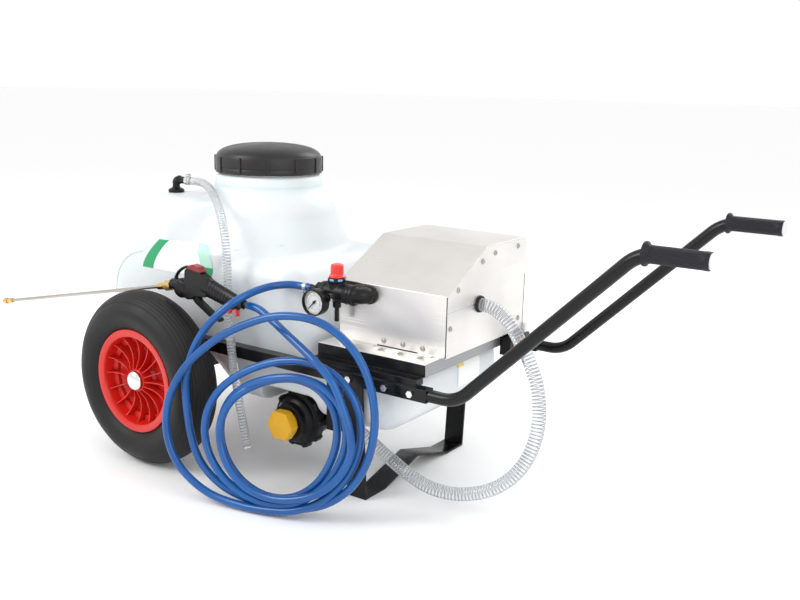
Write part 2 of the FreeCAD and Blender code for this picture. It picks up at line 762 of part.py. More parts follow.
# ---- pressure regulator and gauge -------------------------------------------------
left_end = size("regulator_left", 402)
body_axis = (ax + left_end, reg_y, reg_z)
join("regulator_body", [
    rod("reg_barrel", reg_r, 76, body_axis, X),
    rod("reg_boss", 17, 28, (ax + knob_x, reg_y, reg_z), Z),
    hexagon("reg_collar", 36, 10, (ax + knob_x, reg_y, reg_z + 22), Z),
    rod("reg_drain_nut", 9, 32, (ax + knob_x, reg_y, reg_z - 32), Z),
    rod("reg_drain", 5, 62, (ax + knob_x, reg_y, reg_z - 62), Z),
    rod("gauge_stub", 7, 38, (ax + gauge_x, -220, gauge_z), Y)])
elbow_path = routed([Vector(float(ax + left_end) + 78, float(reg_y), float(reg_z)),
                     Vector(float(ax + elbow_x), float(reg_y), float(reg_z)),
                     Vector(float(ax + elbow_x), 1 - float(box_half) - 7, float(reg_z))], [18.5])
join("regulator_elbow", [
    shaped("elbow_bend", swept(elbow_path, 17)),
    rod("elbow_nut", 22, 9, (ax + left_end + 76, reg_y, reg_z), X),
    rod("elbow_flange", 20, 7, (ax + elbow_x, -box_half - 7, reg_z), Y),
    rod("elbow_tail", 8.9, 24, (ax + elbow_x, -box_half - 3, reg_z), Y)])
turned("regulator_knob", [(0, 0), (17, 0), (17, 4), (14, 7), (13, 26), (11, 28), (0, 28)],
       (ax + knob_x, reg_y, reg_z + 32), Z)
turned("gauge_case", [(0, 0), (gauge_r - 2, 0), (gauge_r, 3), (gauge_r, 25), (gauge_r - 3, 25),
                      (gauge_r - 3, 18), (0, 18)], (ax + gauge_x, gauge_y + 25, gauge_z), -Y)
turned("gauge_glass", [(0, 0), (gauge_r - 3, 0), (gauge_r - 3, 2), (0, 2)],
       (ax + gauge_x, gauge_y + 3.5, gauge_z), -Y)
needle_hub = turned("needle_hub", [(0, 0), (3, 0), (3, 1.8), (0, 1.8)],
                    (ax + gauge_x, gauge_y + 6.6, gauge_z), -Y)
needle_arm = padded("needle_arm", [(-6, -1.6), (20, -0.4), (20, 0.4), (-6, 1.6)], 1,
                    (ax + gauge_x, gauge_y + 6.5, gauge_z),
                    ALONG_MINUS_Y * Rotation(Z, 225))
join("gauge_needle", [needle_hub, needle_arm])
join("outlet_tail", [hexagon("outlet_nut", 27, 14, (ax + left_end, reg_y, reg_z), -X),
                     rod("outlet_barb", 7, 32, (ax + left_end, reg_y, reg_z), -X)])

# ---- suction filter ----------------------------------------------------------------
ring_y = size("filter_ring_y", -170)
nose = size("filter_nose", 32)
filter_nose_r = size("filter_nose_r", 42)
join("filter_body", [
    rod("filter_ring", filter_ring_r, 24, (ax + filter_x, ring_y, filter_z), Y),
    rod("filter_head", 49, 42, (ax + filter_x, ring_y + 24, filter_z), Y),
    rod("filter_nose", filter_nose_r, nose, (ax + filter_x, ring_y - nose, filter_z), Y),
    rod("filter_spigot", 13.9, 16, (ax + filter_x, -106, filter_z), Y),
    rod("filter_port", 19, 65, (ax + filter_x, -124, filter_z), X)])
cap_back = ring_y - nose - 0.3
cap_flange = rod("cap_flange", filter_cap_r - 3, 6, (ax + filter_x, cap_back, filter_z), -Y)
cap_hex = hexagon("cap_hex", filter_cap_r * 1.84, 24, (ax + filter_x, cap_back - 4, filter_z), -Y)
join("filter_cap", [cap_flange, cap_hex])
barb_x = size("suction_barb_x", 376)
join("suction_barb", [hexagon("barb_nut", 36, 10, (ax + barb_x, -124, filter_z), X),
                      rod("barb_stem", 11, 16, (ax + barb_x, -124, filter_z), X)])

# ---- gun, lance and nozzle ---------------------------------------------------------
lance_fall = size("lance_fall", 0.206)
slope = math.atan(float(lance_fall))
ahead = Vector(-math.cos(slope), 0, -math.sin(slope))
lance_z = size("lance_z", 403.3)


def on_lance(x):
    return (ax + x, gun_y, lance_z + lance_fall * x)


def along(x1, x2):
    return abs(x1 - x2) / math.cos(slope)


gun_profile = [(48, 427), (48, 407), (60, 397), (76, 391), (106, 387), (124, 399), (158, 401),
               (200, 391), (236, 387), (255, 392), (256, 413), (231, 426), (174, 444),
               (148, 455), (104, 455), (100, 464), (80, 461), (62, 449), (52, 437)]
grip_block = padded("gun_block", gun_profile, 28, (ax, gun_y + 14, 0), ALONG_MINUS_Y)
hook_hole = padded("gun_hook_hole", [(68, 437), (73, 432), (95, 435), (95, 457), (84, 452)], 40,
                   (ax, gun_y + 20, 0), ALONG_MINUS_Y)
lever_slot = box("lever_slot", (ax + 108, gun_y - 7, 380), (58, 14, 27))
gun_solid = take("gun_solid", grip_block, hook_hole)
take("gun_body", gun_solid, lever_slot)
padded("gun_trigger", [(114, 405), (114, 394), (125, 384), (166, 361), (197, 353), (201, 359),
                       (173, 372), (140, 391), (128, 405)], 12,
       (ax, gun_y + 6, 0), ALONG_MINUS_Y)
padded("gun_lock", [(105, 455.3), (147, 455.3), (140, 466), (121, 470), (107, 466)], 18,
       (ax, gun_y + 9, 0), ALONG_MINUS_Y)
fit_start = 46
neck_end = 3
pipe_end = -560
join("lance_fitting", [
    hexagon("fit_nut", 20, along(fit_start, 26), on_lance(fit_start), ahead),
    rod("fit_neck", 7.5, along(fit_start, neck_end), on_lance(fit_start), ahead)])
rod("lance", lance_r, along(neck_end, pipe_end), on_lance(neck_end), ahead)
join("nozzle", [rod("nozzle_body", 6, along(pipe_end, -583), on_lance(pipe_end), ahead),
                hexagon("nozzle_nut", 12, 8, on_lance(pipe_end - 5), ahead)])
turned("nozzle_cap", [(0, 0), (8, 0), (8, 12), (5, 19), (0, 19)], on_lance(-583), ahead)
tail_at = (ax + 256, gun_y, size("gun_tail_z", 402))
join("gun_swivel", [hexagon("swivel_nut", 19, 9, tail_at, X), rod("swivel_neck", 6.5, 20, tail_at, X)])

# ---- hose clamps -------------------------------------------------------------------
clamp_specs = [
    ("vent", (elbow_foot[0] + 37, elbow_foot[1], arm_z), X, vent_r, 9),
    ("outlet", (ax + left_end - 44, reg_y, reg_z), -X, blue_r, 9),
    ("suction", (ax + barb_x + 20, -124, filter_z), X, suction_r, 9)]
clamps = []
for word, start, axis, radius, wide in clamp_specs:
    outer = rod("band_%s_out" % word, radius + 1.3, wide, start, axis)
    inner = rod("band_%s_in" % word, radius + 0.2, wide, start, axis)
    band = take("band_" + word, outer, inner)
    worm = box("worm_" + word, (start[0] - (wide if axis.x < 0 else 0), start[1] - 6,
                                start[2] + radius + 0.6), (wide, 12, 7))
    clamps.append(join("clamp_" + word, [band, worm]))
apart("hose_clamps", clamps)

# ---- hoses -------------------------------------------------------------------------
suction_route = [
    (680, -36, 423), (712, -36, 423), (742, -38, 411), (770, -41, 389), (796, -45, 357),
    (822, -50, 319), (842, -56, 279), (853, -64, 236), (856, -73, 194), (850, -83, 155),
    (836, -94, 119), (813, -106, 88), (780, -119, 63), (740, -131, 48), (698, -142, 42),
    (651, -150, 46), (604, -151, 61), (560, -145, 77), (516, -137, 93), (472, -129, 110),
    (430, -124, 125), (392, -124, 125)]
hose("suction_hose", suction_route, float(suction_r))
vent_route = [
    (-106, -95, 621), (-74, -95, 621), (-8, -130, 625), (51, -165, 617), (104, -198, 594),
    (141, -220, 561), (164, -234, 516), (178, -245, 458), (187, -253, 394), (195, -258, 331),
    (203, -260, 272), (213, -260, 215), (224, -260, 162), (234, -259, 113), (243, -258, 67)]
hose("vent_hose", vent_route, float(vent_r))
outlet_route = [
    (370, -190, 437), (346, -190, 437), (322, -198, 439), (303, -215, 438), (291, -237, 436),
    (285, -266, 432), (279, -297, 425), (266, -324, 411), (243, -343, 386), (216, -354, 354),
    (196, -364, 315), (186, -375, 272), (185, -385, 228)]
hose("hose_outlet", outlet_route, float(blue_r))
gun_route = [
    (276, -285, 402), (300, -285, 402), (338, -289, 387), (378, -297, 371), (419, -307, 356),
    (457, -315, 341.5), (489, -320, 326), (517, -321, 307), (540, -319, 284)]
hose("hose_gun", gun_route, float(blue_r))

# The coil as one solid: the leaning ring of hose that its turns fill together.
coil_lean = (0.222, 0.15)
coil_centre = Vector(float(ax) + 406.8, -348.6, 174.4)
coil_out = (size("coil_half_wide", 241), size("coil_half_high", 209), -13, 37)
coil_in = (size("coil_open_wide", 120), size("coil_open_high", 110), 6, -15)
coil_thick = size("coil_thick", 36)
coil_shift = 3.5


def oval(half_wide, half_high, right, up, depth):
    """An upright elliptical plate in the XZ plane, its middle moved right and up."""
    big = max(float(half_wide), float(half_high))
    turn = 0 if float(half_wide) >= float(half_high) else 90
    small = min(float(half_wide), float(half_high))
    curve = Part.Ellipse(Vector(0, 0, 0), big, small)
    face = Part.Face(Part.Wire([curve.toShape()]))
    face.rotate(Vector(0, 0, 0), Z, turn)
    plate = face.extrude(Vector(0, 0, depth))
    plate.translate(Vector(right, up, -depth / 2))
    return plate


thick = float(coil_thick)
coil_ring = oval(*coil_out, thick).cut(oval(*coil_in, thick + 2))
across = Vector(1, coil_lean[0], 0).normalize()
away = Vector(-coil_lean[0], 1, -coil_lean[1]).normalize()
upward = across.cross(away)
frame_of_coil = Rotation(across, upward, across.cross(upward), "ZXY")
shaped("hose_coil", coil_ring, Placement(coil_centre - away * coil_shift, frame_of_coil))

# ---- check and write ----------------------------------------------------------------
nodes = ["frame", "axle", "stand", "stand_bolts", "handle_near", "handle_far", "handle_bolts",
         "grip_near", "grip_far", "grip_plugs", "tray_sheet", "tank_shell", "filler_basket",
         "lid_gasket", "tank_lid", "vent_elbow", "vent_hose", "tyre_near", "rim_near",
         "bush_near", "tyre_far", "rim_far", "bush_far", "hub_caps", "box_cover",
         "box_end_rear", "box_end_front", "box_screws", "box_grommet", "battery",
         "pump_motor", "pump_head", "charge_socket", "switch_rocker", "regulator_body",
         "regulator_elbow", "regulator_knob", "gauge_case", "gauge_needle", "gauge_glass",
         "outlet_tail", "filter_body", "filter_cap", "suction_barb", "gun_body",
         "gun_trigger", "gun_lock", "lance_fitting", "lance", "nozzle", "nozzle_cap",
         "gun_swivel", "hose_clamps", "hose_outlet", "hose_coil", "hose_gun", "suction_hose"]

doc.recompute()
for obj in doc.Objects:
    if "Invalid" in obj.State or "Error" in obj.State:
        raise RuntimeError("%s is %s" % (obj.Label, obj.State))

os.makedirs("parts", exist_ok=True)
for name in nodes:
    found = [obj for obj in doc.Objects if obj.Label == name]
    if len(found) != 1:
        raise RuntimeError("%s found %d times" % (name, len(found)))
    shape = found[0].Shape
    if shape.isNull() or not shape.isValid() or not shape.Solids:
        raise RuntimeError("%s has no valid solid" % name)
    shape.exportStep("parts/%s.step" % name)
    span = shape.BoundBox
    print("%-16s solids %d faces %3d x %.0f %.0f y %.0f %.0f z %.0f %.0f" % (
        name, len(shape.Solids), len(shape.Faces), span.XMin, span.XMax, span.YMin, span.YMax,
        span.ZMin, span.ZMax))
print("nodes", len(nodes))
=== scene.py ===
import math
import bmesh
import bpy
from mathutils import Matrix, Vector
from mathutils.bvhtree import BVHTree


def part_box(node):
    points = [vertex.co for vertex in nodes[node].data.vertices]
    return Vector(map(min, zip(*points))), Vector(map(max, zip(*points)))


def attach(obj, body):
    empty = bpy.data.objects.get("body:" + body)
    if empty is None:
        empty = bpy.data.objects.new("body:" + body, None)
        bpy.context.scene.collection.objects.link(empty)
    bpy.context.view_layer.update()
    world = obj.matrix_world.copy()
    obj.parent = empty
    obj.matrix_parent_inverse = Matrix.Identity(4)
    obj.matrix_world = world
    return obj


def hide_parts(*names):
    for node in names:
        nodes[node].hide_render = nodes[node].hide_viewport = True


# Wheeled sprayer cart. Metres. X runs to the handles, -Y is the side with the hose coil, Z is up.
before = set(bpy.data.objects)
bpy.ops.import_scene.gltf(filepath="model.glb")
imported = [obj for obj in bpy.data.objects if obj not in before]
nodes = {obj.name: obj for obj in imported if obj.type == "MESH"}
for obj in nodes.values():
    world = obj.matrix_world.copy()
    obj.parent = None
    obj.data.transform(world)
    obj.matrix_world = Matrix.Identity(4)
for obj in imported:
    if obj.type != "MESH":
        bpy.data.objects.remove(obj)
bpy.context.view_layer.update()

X = Vector((1, 0, 0))
Y = Vector((0, 1, 0))
Z = Vector((0, 0, 1))
MM = 0.001


def middle(name):
    """The middle of a CAD node's box."""
    low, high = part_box(name)
    return (Vector(low) + Vector(high)) / 2


AXLE = middle("axle")


def at(x, y, z):
    """A place in millimetres from the axle along X, from the middle in Y and from the floor in Z."""
    return Vector((AXLE.x + x * MM, y * MM, z * MM))


# ---- camera ----------------------------------------------------------------------------
YAW, PITCH, ROLL = math.radians(34.32), math.radians(12.92), math.radians(1.35)
forward = Vector((-math.sin(YAW) * math.cos(PITCH), math.cos(YAW) * math.cos(PITCH),
                  -math.sin(PITCH)))
level = Vector((math.cos(YAW), math.sin(YAW), 0))
right = level * math.cos(ROLL) + level.cross(forward) * math.sin(ROLL)
up = right.cross(forward)
camera = bpy.data.objects.new("camera", bpy.data.cameras.new("camera"))
camera.data.sensor_width = 36
camera.data.lens = 42.41
camera.matrix_world = Matrix.Translation((1.317, -1.692, 0.8616)) @ Matrix(
    (right, up, -forward)).transposed().to_4x4()
bpy.context.collection.objects.link(camera)
bpy.context.scene.camera = camera


# ---- materials -------------------------------------------------------------------------
def shade(name, colour, rough, metal=0.0, **sockets):
    """A principled material; sockets are further inputs, with _ for a space."""
    made = bpy.data.materials.new(name)
    made.use_nodes = True
    surface = made.node_tree.nodes["Principled BSDF"]
    surface.inputs["Base Color"].default_value = (*colour, 1)
    surface.inputs["Roughness"].default_value = rough
    surface.inputs["Metallic"].default_value = metal
    for key, value in sockets.items():
        surface.inputs[key.replace("_", " ")].default_value = value
    made.diffuse_color = (*colour, 1)
    return made


def grain(made, size, stretch=(1, 1, 1), detail=3.0):
    """A noise in the object's own space; size is how many grains to the metre."""
    tree = made.node_tree
    place = tree.nodes.new("ShaderNodeTexCoord")
    scale = tree.nodes.new("ShaderNodeMapping")
    scale.inputs["Scale"].default_value = stretch
    noise = tree.nodes.new("ShaderNodeTexNoise")
    noise.inputs["Scale"].default_value = size
    noise.inputs["Detail"].default_value = detail
    tree.links.new(place.outputs["Object"], scale.inputs["Vector"])
    tree.links.new(scale.outputs["Vector"], noise.inputs["Vector"])
    return noise.outputs["Fac"]


NOISE_LOW, NOISE_HIGH = 0.3, 0.7


def spread(made, source, socket, low, high):
    """Drive a number of the surface between low and high by a noise."""
    tree = made.node_tree
    ramp = tree.nodes.new("ShaderNodeMapRange")
    ramp.inputs["From Min"].default_value = NOISE_LOW
    ramp.inputs["From Max"].default_value = NOISE_HIGH
    ramp.inputs["To Min"].default_value = low
    ramp.inputs["To Max"].default_value = high
    tree.links.new(source, ramp.inputs["Value"])
    tree.links.new(ramp.outputs["Result"], tree.nodes["Principled BSDF"].inputs[socket])


def tint(made, source, first, second, start=0.35, end=0.65):
    """Drive the colour of the surface from one colour to another."""
    tree = made.node_tree
    ramp = tree.nodes.new("ShaderNodeValToRGB")
    ramp.color_ramp.elements[0].position = start
    ramp.color_ramp.elements[0].color = (*first, 1)
    ramp.color_ramp.elements[1].position = end
    ramp.color_ramp.elements[1].color = (*second, 1)
    tree.links.new(source, ramp.inputs["Fac"])
    tree.links.new(ramp.outputs["Color"], tree.nodes["Principled BSDF"].inputs["Base Color"])


def bump(made, source, depth, strength):
    """Raise and sink the surface by a noise, as deep as depth in metres."""
    tree = made.node_tree
    relief = tree.nodes.new("ShaderNodeBump")
    relief.inputs["Strength"].default_value = strength
    relief.inputs["Distance"].default_value = depth
    tree.links.new(source, relief.inputs["Height"])
    tree.links.new(relief.outputs["Normal"], tree.nodes["Principled BSDF"].inputs["Normal"])


def moulded_plastic(name, colour, rough, spot=0.8, size=900, **sockets):
    """Moulded plastic: a fine skin, and a colour that varies a little."""
    made = shade(name, colour, rough, **sockets)
    fine = grain(made, size)
    wide = grain(made, 14)
    tint(made, wide, [c * spot for c in colour], colour)
    spread(made, wide, "Roughness", rough * 0.85, min(1.0, rough * 1.25))
    bump(made, fine, 0.0003, 0.35)
    return made


def brushed(name, colour, rough, stretch, strength=0.25):
    """Rolled or brushed sheet: long fine scratches along one direction."""
    made = shade(name, colour, rough, 1.0)
    lines = grain(made, 60, stretch, 6.0)
    cloud = grain(made, 7)
    tint(made, cloud, [c * 0.9 for c in colour], colour)
    spread(made, lines, "Roughness", rough * 0.75, rough * 1.35)
    bump(made, lines, 0.0002, strength)
    return made


def painted(name, colour, rough):
    """Powder coat: a slight orange peel, with a paler rub on the sharp edges."""
    made = shade(name, colour, rough, 0.0, Specular_IOR_Level=0.22, Coat_Weight=0.12,
                 Coat_Roughness=0.14)
    peel = grain(made, 420)
    shape = made.node_tree.nodes.new("ShaderNodeNewGeometry")
    tint(made, shape.outputs["Pointiness"], colour, [0.05, 0.05, 0.052], 0.58, 0.76)
    spread(made, grain(made, 25), "Roughness", rough * 0.85, rough * 1.3)
    bump(made, peel, 0.0003, 0.3)
    return made


black_coat = painted("black_coat", (0.005, 0.005, 0.0056), 0.27)
zinc = brushed("zinc", (0.74, 0.74, 0.76), 0.22, (1, 1, 1), 0.12)
steel = brushed("drawn_steel", (0.5, 0.47, 0.43), 0.3, (0.05, 4, 4), 0.2)
stainless = brushed("stainless_wall", (0.80, 0.775, 0.745), 0.34, (0.06, 9, 9))
stainless_end = brushed("stainless_end", (0.86, 0.84, 0.815), 0.36, (9, 0.06, 9))
# A darker copy of the tray's stainless: painted shade for its rear lip, which is the same steel
# lying in shadow.
stainless_lip_painted_shade = brushed("stainless_lip_painted_shade", (0.36, 0.365, 0.38), 0.4, (9, 0.06, 9))
chrome = shade("chrome", (0.82, 0.82, 0.82), 0.12, 1.0)
spread(chrome, grain(chrome, 60), "Roughness", 0.08, 0.2)
brass = brushed("turned_brass", (0.80, 0.52, 0.2), 0.24, (1, 1, 1), 0.15)
grip_rubber = moulded_plastic("grip_rubber", (0.010, 0.010, 0.015), 0.46, Specular_IOR_Level=0.3)
black_plastic = moulded_plastic("black_plastic", (0.0058, 0.0058, 0.0062), 0.32,
                                Specular_IOR_Level=0.28)
lid_plastic = moulded_plastic("lid_plastic", (0.0165, 0.0145, 0.0145), 0.38, 0.75,
                              Specular_IOR_Level=0.4)
pale_plastic = moulded_plastic("pale_plastic", (0.72, 0.73, 0.74), 0.4, 0.92)
bush_plastic = moulded_plastic("bush_plastic", (0.78, 0.78, 0.75), 0.4, 0.92)
yellow_plastic = moulded_plastic("yellow_plastic", (0.93, 0.49, 0.012), 0.34, 0.9)
battery_case = moulded_plastic("battery_case", (0.10, 0.11, 0.13), 0.45)
tyre_rubber = moulded_plastic("tyre_rubber", (0.0105, 0.0102, 0.0100), 0.5, 0.7, 500,
                              Specular_IOR_Level=0.3)
rim_plastic = moulded_plastic("rim_plastic", (0.60, 0.013, 0.007), 0.27, 0.86)
red_plastic = shade("red_plastic", (0.72, 0.018, 0.010), 0.16, 0.0, Subsurface_Weight=0.3,
                    Subsurface_Scale=0.01, Coat_Weight=0.5)
bump(red_plastic, grain(red_plastic, 500), 0.0002, 0.3)
latch_red = moulded_plastic("latch_red", (0.25, 0.010, 0.015), 0.3, 0.85)
pale_blue = moulded_plastic("pale_blue_plastic", (0.16, 0.45, 0.75), 0.35, 0.9)
hose_blue = shade("hose_blue", (0.0025, 0.078, 0.29), 0.24, 0.0, Specular_IOR_Level=0.35,
                  Coat_Weight=0.3, Coat_Roughness=0.1)
tint(hose_blue, grain(hose_blue, 9), (0.002, 0.068, 0.26), (0.0035, 0.090, 0.32))
bump(hose_blue, grain(hose_blue, 700), 0.0002, 0.25)
hose_clear = shade("hose_clear", (0.95, 0.97, 0.98), 0.14, 0.0, Transmission_Weight=0.82,
                   IOR=1.12, Coat_Weight=0.4)
bump(hose_clear, grain(hose_clear, 260), 0.0003, 0.3)
wire = shade("spiral_wire", (0.42, 0.44, 0.48), 0.3, 1.0)
spread(wire, grain(wire, 200), "Roughness", 0.22, 0.4)
tank_white = shade("tank_white", (0.70, 0.735, 0.755), 0.36, 0.0, Subsurface_Weight=0.35,
                   Subsurface_Scale=0.03, Coat_Weight=0.12, Coat_Roughness=0.3)
tint(tank_white, grain(tank_white, 5), (0.69, 0.728, 0.748), (0.71, 0.745, 0.762))
spread(tank_white, grain(tank_white, 40), "Roughness", 0.3, 0.46)
bump(tank_white, grain(tank_white, 120), 0.0005, 0.2)
glass = shade("gauge_glass", (1, 1, 1), 0.03, 0.0, Transmission_Weight=1.0, IOR=1.1)
bump(glass, grain(glass, 30), 0.0001, 0.05)
dial_white = moulded_plastic("dial_white", (0.83, 0.83, 0.81), 0.5, 0.96)
dial_black = moulded_plastic("dial_black", (0.02, 0.02, 0.022), 0.5)
film_white = moulded_plastic("film_white", (0.93, 0.94, 0.94), 0.3, 0.98)
film_green = moulded_plastic("film_green", (0.010, 0.33, 0.12), 0.3, 0.95)
film_pale = moulded_plastic("film_pale_green", (0.50, 0.84, 0.68), 0.3, 0.93)
film_yellow = moulded_plastic("film_yellow", (0.92, 0.72, 0.16), 0.3, 0.93)


def dress(names, made):
    """Give CAD nodes a material."""
    for name in names:
        data = nodes[name].data
        data.materials.clear()
        data.materials.append(made)
        for face in data.polygons:
            face.material_index = 0


WELD_GAP = 1e-6


def soften(names, width):
    """Round the hard edges of CAD nodes a little, as on pressed, cut and moulded pieces."""
    for name in names:
        piece = nodes[name]
        weld = piece.modifiers.new("weld", "WELD")
        weld.merge_threshold = 10 * WELD_GAP
        edge = piece.modifiers.new("edge", "BEVEL")
        edge.width = width
        edge.segments = 2
        edge.limit_method = "ANGLE"
        edge.angle_limit = math.radians(35)
        edge.harden_normals = False
        lit = piece.modifiers.new("lit", "WEIGHTED_NORMAL")
        lit.keep_sharp = False


dress(["frame", "stand", "handle_near", "handle_far"], black_coat)
dress(["axle", "stand_bolts", "handle_bolts"], zinc)
dress(["tray_sheet", "box_cover"], stainless)
dress(["box_end_rear", "box_end_front"], stainless_end)
dress(["grip_plugs"], pale_plastic)
dress(["bush_near", "bush_far"], bush_plastic)
dress(["box_grommet", "lid_gasket"], grip_rubber)
dress(["battery"], battery_case)
dress(["pump_motor"], black_coat)
dress(["filler_basket", "pump_head", "charge_socket", "outlet_tail", "suction_barb",
       "gun_trigger", "gun_swivel"], black_plastic)
dress(["switch_rocker"], red_plastic)
dress(["gun_lock"], latch_red)
dress(["gauge_needle"], dial_black)
dress(["gauge_glass"], glass)
dress(["lance"], steel)
dress(["nozzle", "nozzle_cap", "lance_fitting"], brass)
soften(["frame", "stand"], 0.0012)
soften(["tray_sheet", "box_cover", "box_end_rear"], 0.0006)
soften(["charge_socket", "gun_trigger", "outlet_tail", "suction_barb", "gun_swivel",
        "nozzle", "nozzle_cap", "lance_fitting", "gun_lock"], 0.0008)


def paint_shade_on_faces(name, made, axis):
    """Give the faces of a CAD node that look along an axis a second material; here a darker copy
    that paints shade on them.
    """
    data = nodes[name].data
    data.materials.append(made)
    for face in data.polygons:
        if face.normal.dot(axis) > 0.9:
            face.material_index = 1


# The tray's rear lip is painted darker than the rest of the sheet: painted shade.
paint_shade_on_faces("tray_sheet", stainless_lip_painted_shade, X)


# ---- mesh helpers ----------------------------------------------------------------------
def turn_to(axis):
    """The turn that brings Z onto an axis."""
    return Z.rotation_difference(Vector(axis)).to_matrix().to_4x4()


def finished(name, bm, made, body, stands_for=(), sharp=38):
    """Turn a bmesh into a piece that rides on a body."""
    bmesh.ops.remove_doubles(bm, verts=bm.verts, dist=WELD_GAP)
    bmesh.ops.recalc_face_normals(bm, faces=bm.faces)
    for face in bm.faces:
        face.smooth = True
    for edge in bm.edges:
        if len(edge.link_faces) == 2:
            edge.smooth = edge.calc_face_angle(0) < math.radians(sharp)
    data = bpy.data.meshes.new(name)
    bm.to_mesh(data)
    bm.free()
    data.materials.append(made)
    piece = bpy.data.objects.new(name, data)
    bpy.context.collection.objects.link(piece)
    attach(piece, body)
    if stands_for:
        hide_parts(*stands_for)
    return piece


def lathe(bm, profile, origin, axis, steps, wave=None):
    """Turn (radius, height) points about an axis. wave adds to a radius by angle and index."""
    matrix = Matrix.Translation(origin) @ turn_to(axis)
    rings = []
    for k, (radius, height) in enumerate(profile):
        if radius < WELD_GAP:
            rings.append([bm.verts.new(matrix @ Vector((0, 0, height)))])
            continue
        ring = []
        for i in range(steps):
            angle = 2 * math.pi * i / steps
            r = radius + (wave(angle, k) if wave else 0)
            ring.append(bm.verts.new(matrix @ Vector((r * math.cos(angle), r * math.sin(angle),
                                                      height))))
        rings.append(ring)
    for low, high in zip(rings, rings[1:]):
        for i in range(steps):
            j = (i + 1) % steps
            corners = [low[i % len(low)], low[j % len(low)], high[j % len(high)],
                       high[i % len(high)]]
            kept = []
            for corner in corners:
                if corner not in kept:
                    kept.append(corner)
            if len(kept) > 2:
                bm.faces.new(kept)


RING_STEPS = 24


def ring_of(bm, centre, out, over):
    """A ring of vertices about a centre; out and over are its two radii."""
    turns = [2 * math.pi * i / RING_STEPS for i in range(RING_STEPS)]
    return [bm.verts.new(centre + out * math.cos(a) + over * math.sin(a)) for a in turns]


def bridge(bm, rings):
    """Join rings of equal count into a closed bar with flat ends."""
    for low, high in zip(rings, rings[1:]):
        for i in range(len(low)):
            j = (i + 1) % len(low)
            bm.faces.new([low[i], low[j], high[j], high[i]])
    bm.faces.new(rings[0][::-1])
    bm.faces.new(rings[-1])


def block(bm, low, high, soft=0.0, matrix=Matrix()):
    """A block whose edges are bevelled by soft."""
    made = bmesh.ops.create_cube(bm, size=1)["verts"]
    low, high = Vector(low), Vector(high)
    span = high - low
    for v in made:
        v.co = Vector(((v.co.x + 0.5) * span.x, (v.co.y + 0.5) * span.y,
                       (v.co.z + 0.5) * span.z)) + low
    if soft:
        edges = list({e for v in made for e in v.link_edges})
        made = bmesh.ops.bevel(bm, geom=edges, offset=soft, segments=2, affect="EDGES",
                               profile=0.6)["verts"]
    for v in set(made):
        v.co = matrix @ v.co


def plate(bm, corners, depth, matrix):
    """A flat outline in XY given a thickness along Z."""
    lower = [bm.verts.new(matrix @ Vector((x, y, -depth / 2))) for x, y in corners]
    upper = [bm.verts.new(matrix @ Vector((x, y, depth / 2))) for x, y in corners]
    bridge(bm, [lower, upper])


def remeshed(bm, voxel, rounds):
    """Merge closed shapes into one skin and blend their edges in a number of rounds."""
    data = bpy.data.meshes.new("draft")
    bm.to_mesh(data)
    bm.free()
    draft = bpy.data.objects.new("draft", data)
    bpy.context.collection.objects.link(draft)
    skin = draft.modifiers.new("skin", "REMESH")
    skin.mode = "VOXEL"
    skin.voxel_size = voxel
    ease = draft.modifiers.new("ease", "SMOOTH")
    ease.factor = 0.5
    ease.iterations = rounds
    bpy.context.view_layer.update()
    done = bmesh.new()
    shown = draft.evaluated_get(bpy.context.evaluated_depsgraph_get())
    done.from_mesh(shown.to_mesh())
    shown.to_mesh_clear()
    bpy.data.objects.remove(draft)
    bpy.data.meshes.remove(data)
    return done


def copied(*names):
    """The meshes of CAD nodes, welded, in one bmesh."""
    bm = bmesh.new()
    for name in names:
        bm.from_mesh(nodes[name].data)
    bmesh.ops.remove_doubles(bm, verts=bm.verts, dist=WELD_GAP)
    return bm


def moulded(name, sources, voxel, rounds, made, body, extra=None):
    """A CAD node's own shape with the soft edges of a moulding."""
    bm = copied(*sources)
    if extra:
        extra(bm)
    return finished(name, remeshed(bm, voxel, rounds), made, body, sources, 60)


# ---- hoses -----------------------------------------------------------------------------
BLUE_R, SUCTION_R, VENT_R = 0.00825, 0.014, 0.0095
# Routes in millimetres, as at() takes them, each from where the hose leaves its fitting.
OUTLET = [(370, -190, 437), (346, -190, 437), (322, -198, 439), (303, -215, 438),
          (291, -237, 436), (285, -266, 432), (279, -297, 425), (266, -324, 411),
          (243, -343, 386), (216, -354, 354), (196, -364, 315), (186, -375, 272),
          (185, -385, 228)]
TO_GUN = [(540, -319, 284), (517, -321, 307), (489, -320, 326), (457, -315, 341.5),
          (419, -307, 356), (378, -297, 371), (338, -289, 387), (300, -285, 402),
          (276, -285, 402)]
SUCTION = [(680, -36, 423), (712, -36, 423), (742, -38, 411), (770, -41, 389), (796, -45, 357),
           (822, -50, 319), (842, -56, 279), (853, -64, 236), (856, -73, 194), (850, -83, 155),
           (836, -94, 119), (813, -106, 88), (780, -119, 63), (740, -131, 48), (698, -142, 42),
           (651, -150, 46), (604, -151, 61), (560, -145, 77), (516, -137, 93), (472, -129, 110),
           (430, -124, 125), (392, -124, 125)]
VENT = [(-106, -95, 621), (-74, -95, 621), (-8, -130, 625), (51, -165, 617), (104, -198, 594),
        (141, -220, 561), (164, -234, 516), (178, -245, 458), (187, -253, 394),
        (195, -258, 331), (203, -260, 272), (213, -260, 215), (224, -260, 162),
        (234, -259, 113), (243, -258, 67)]
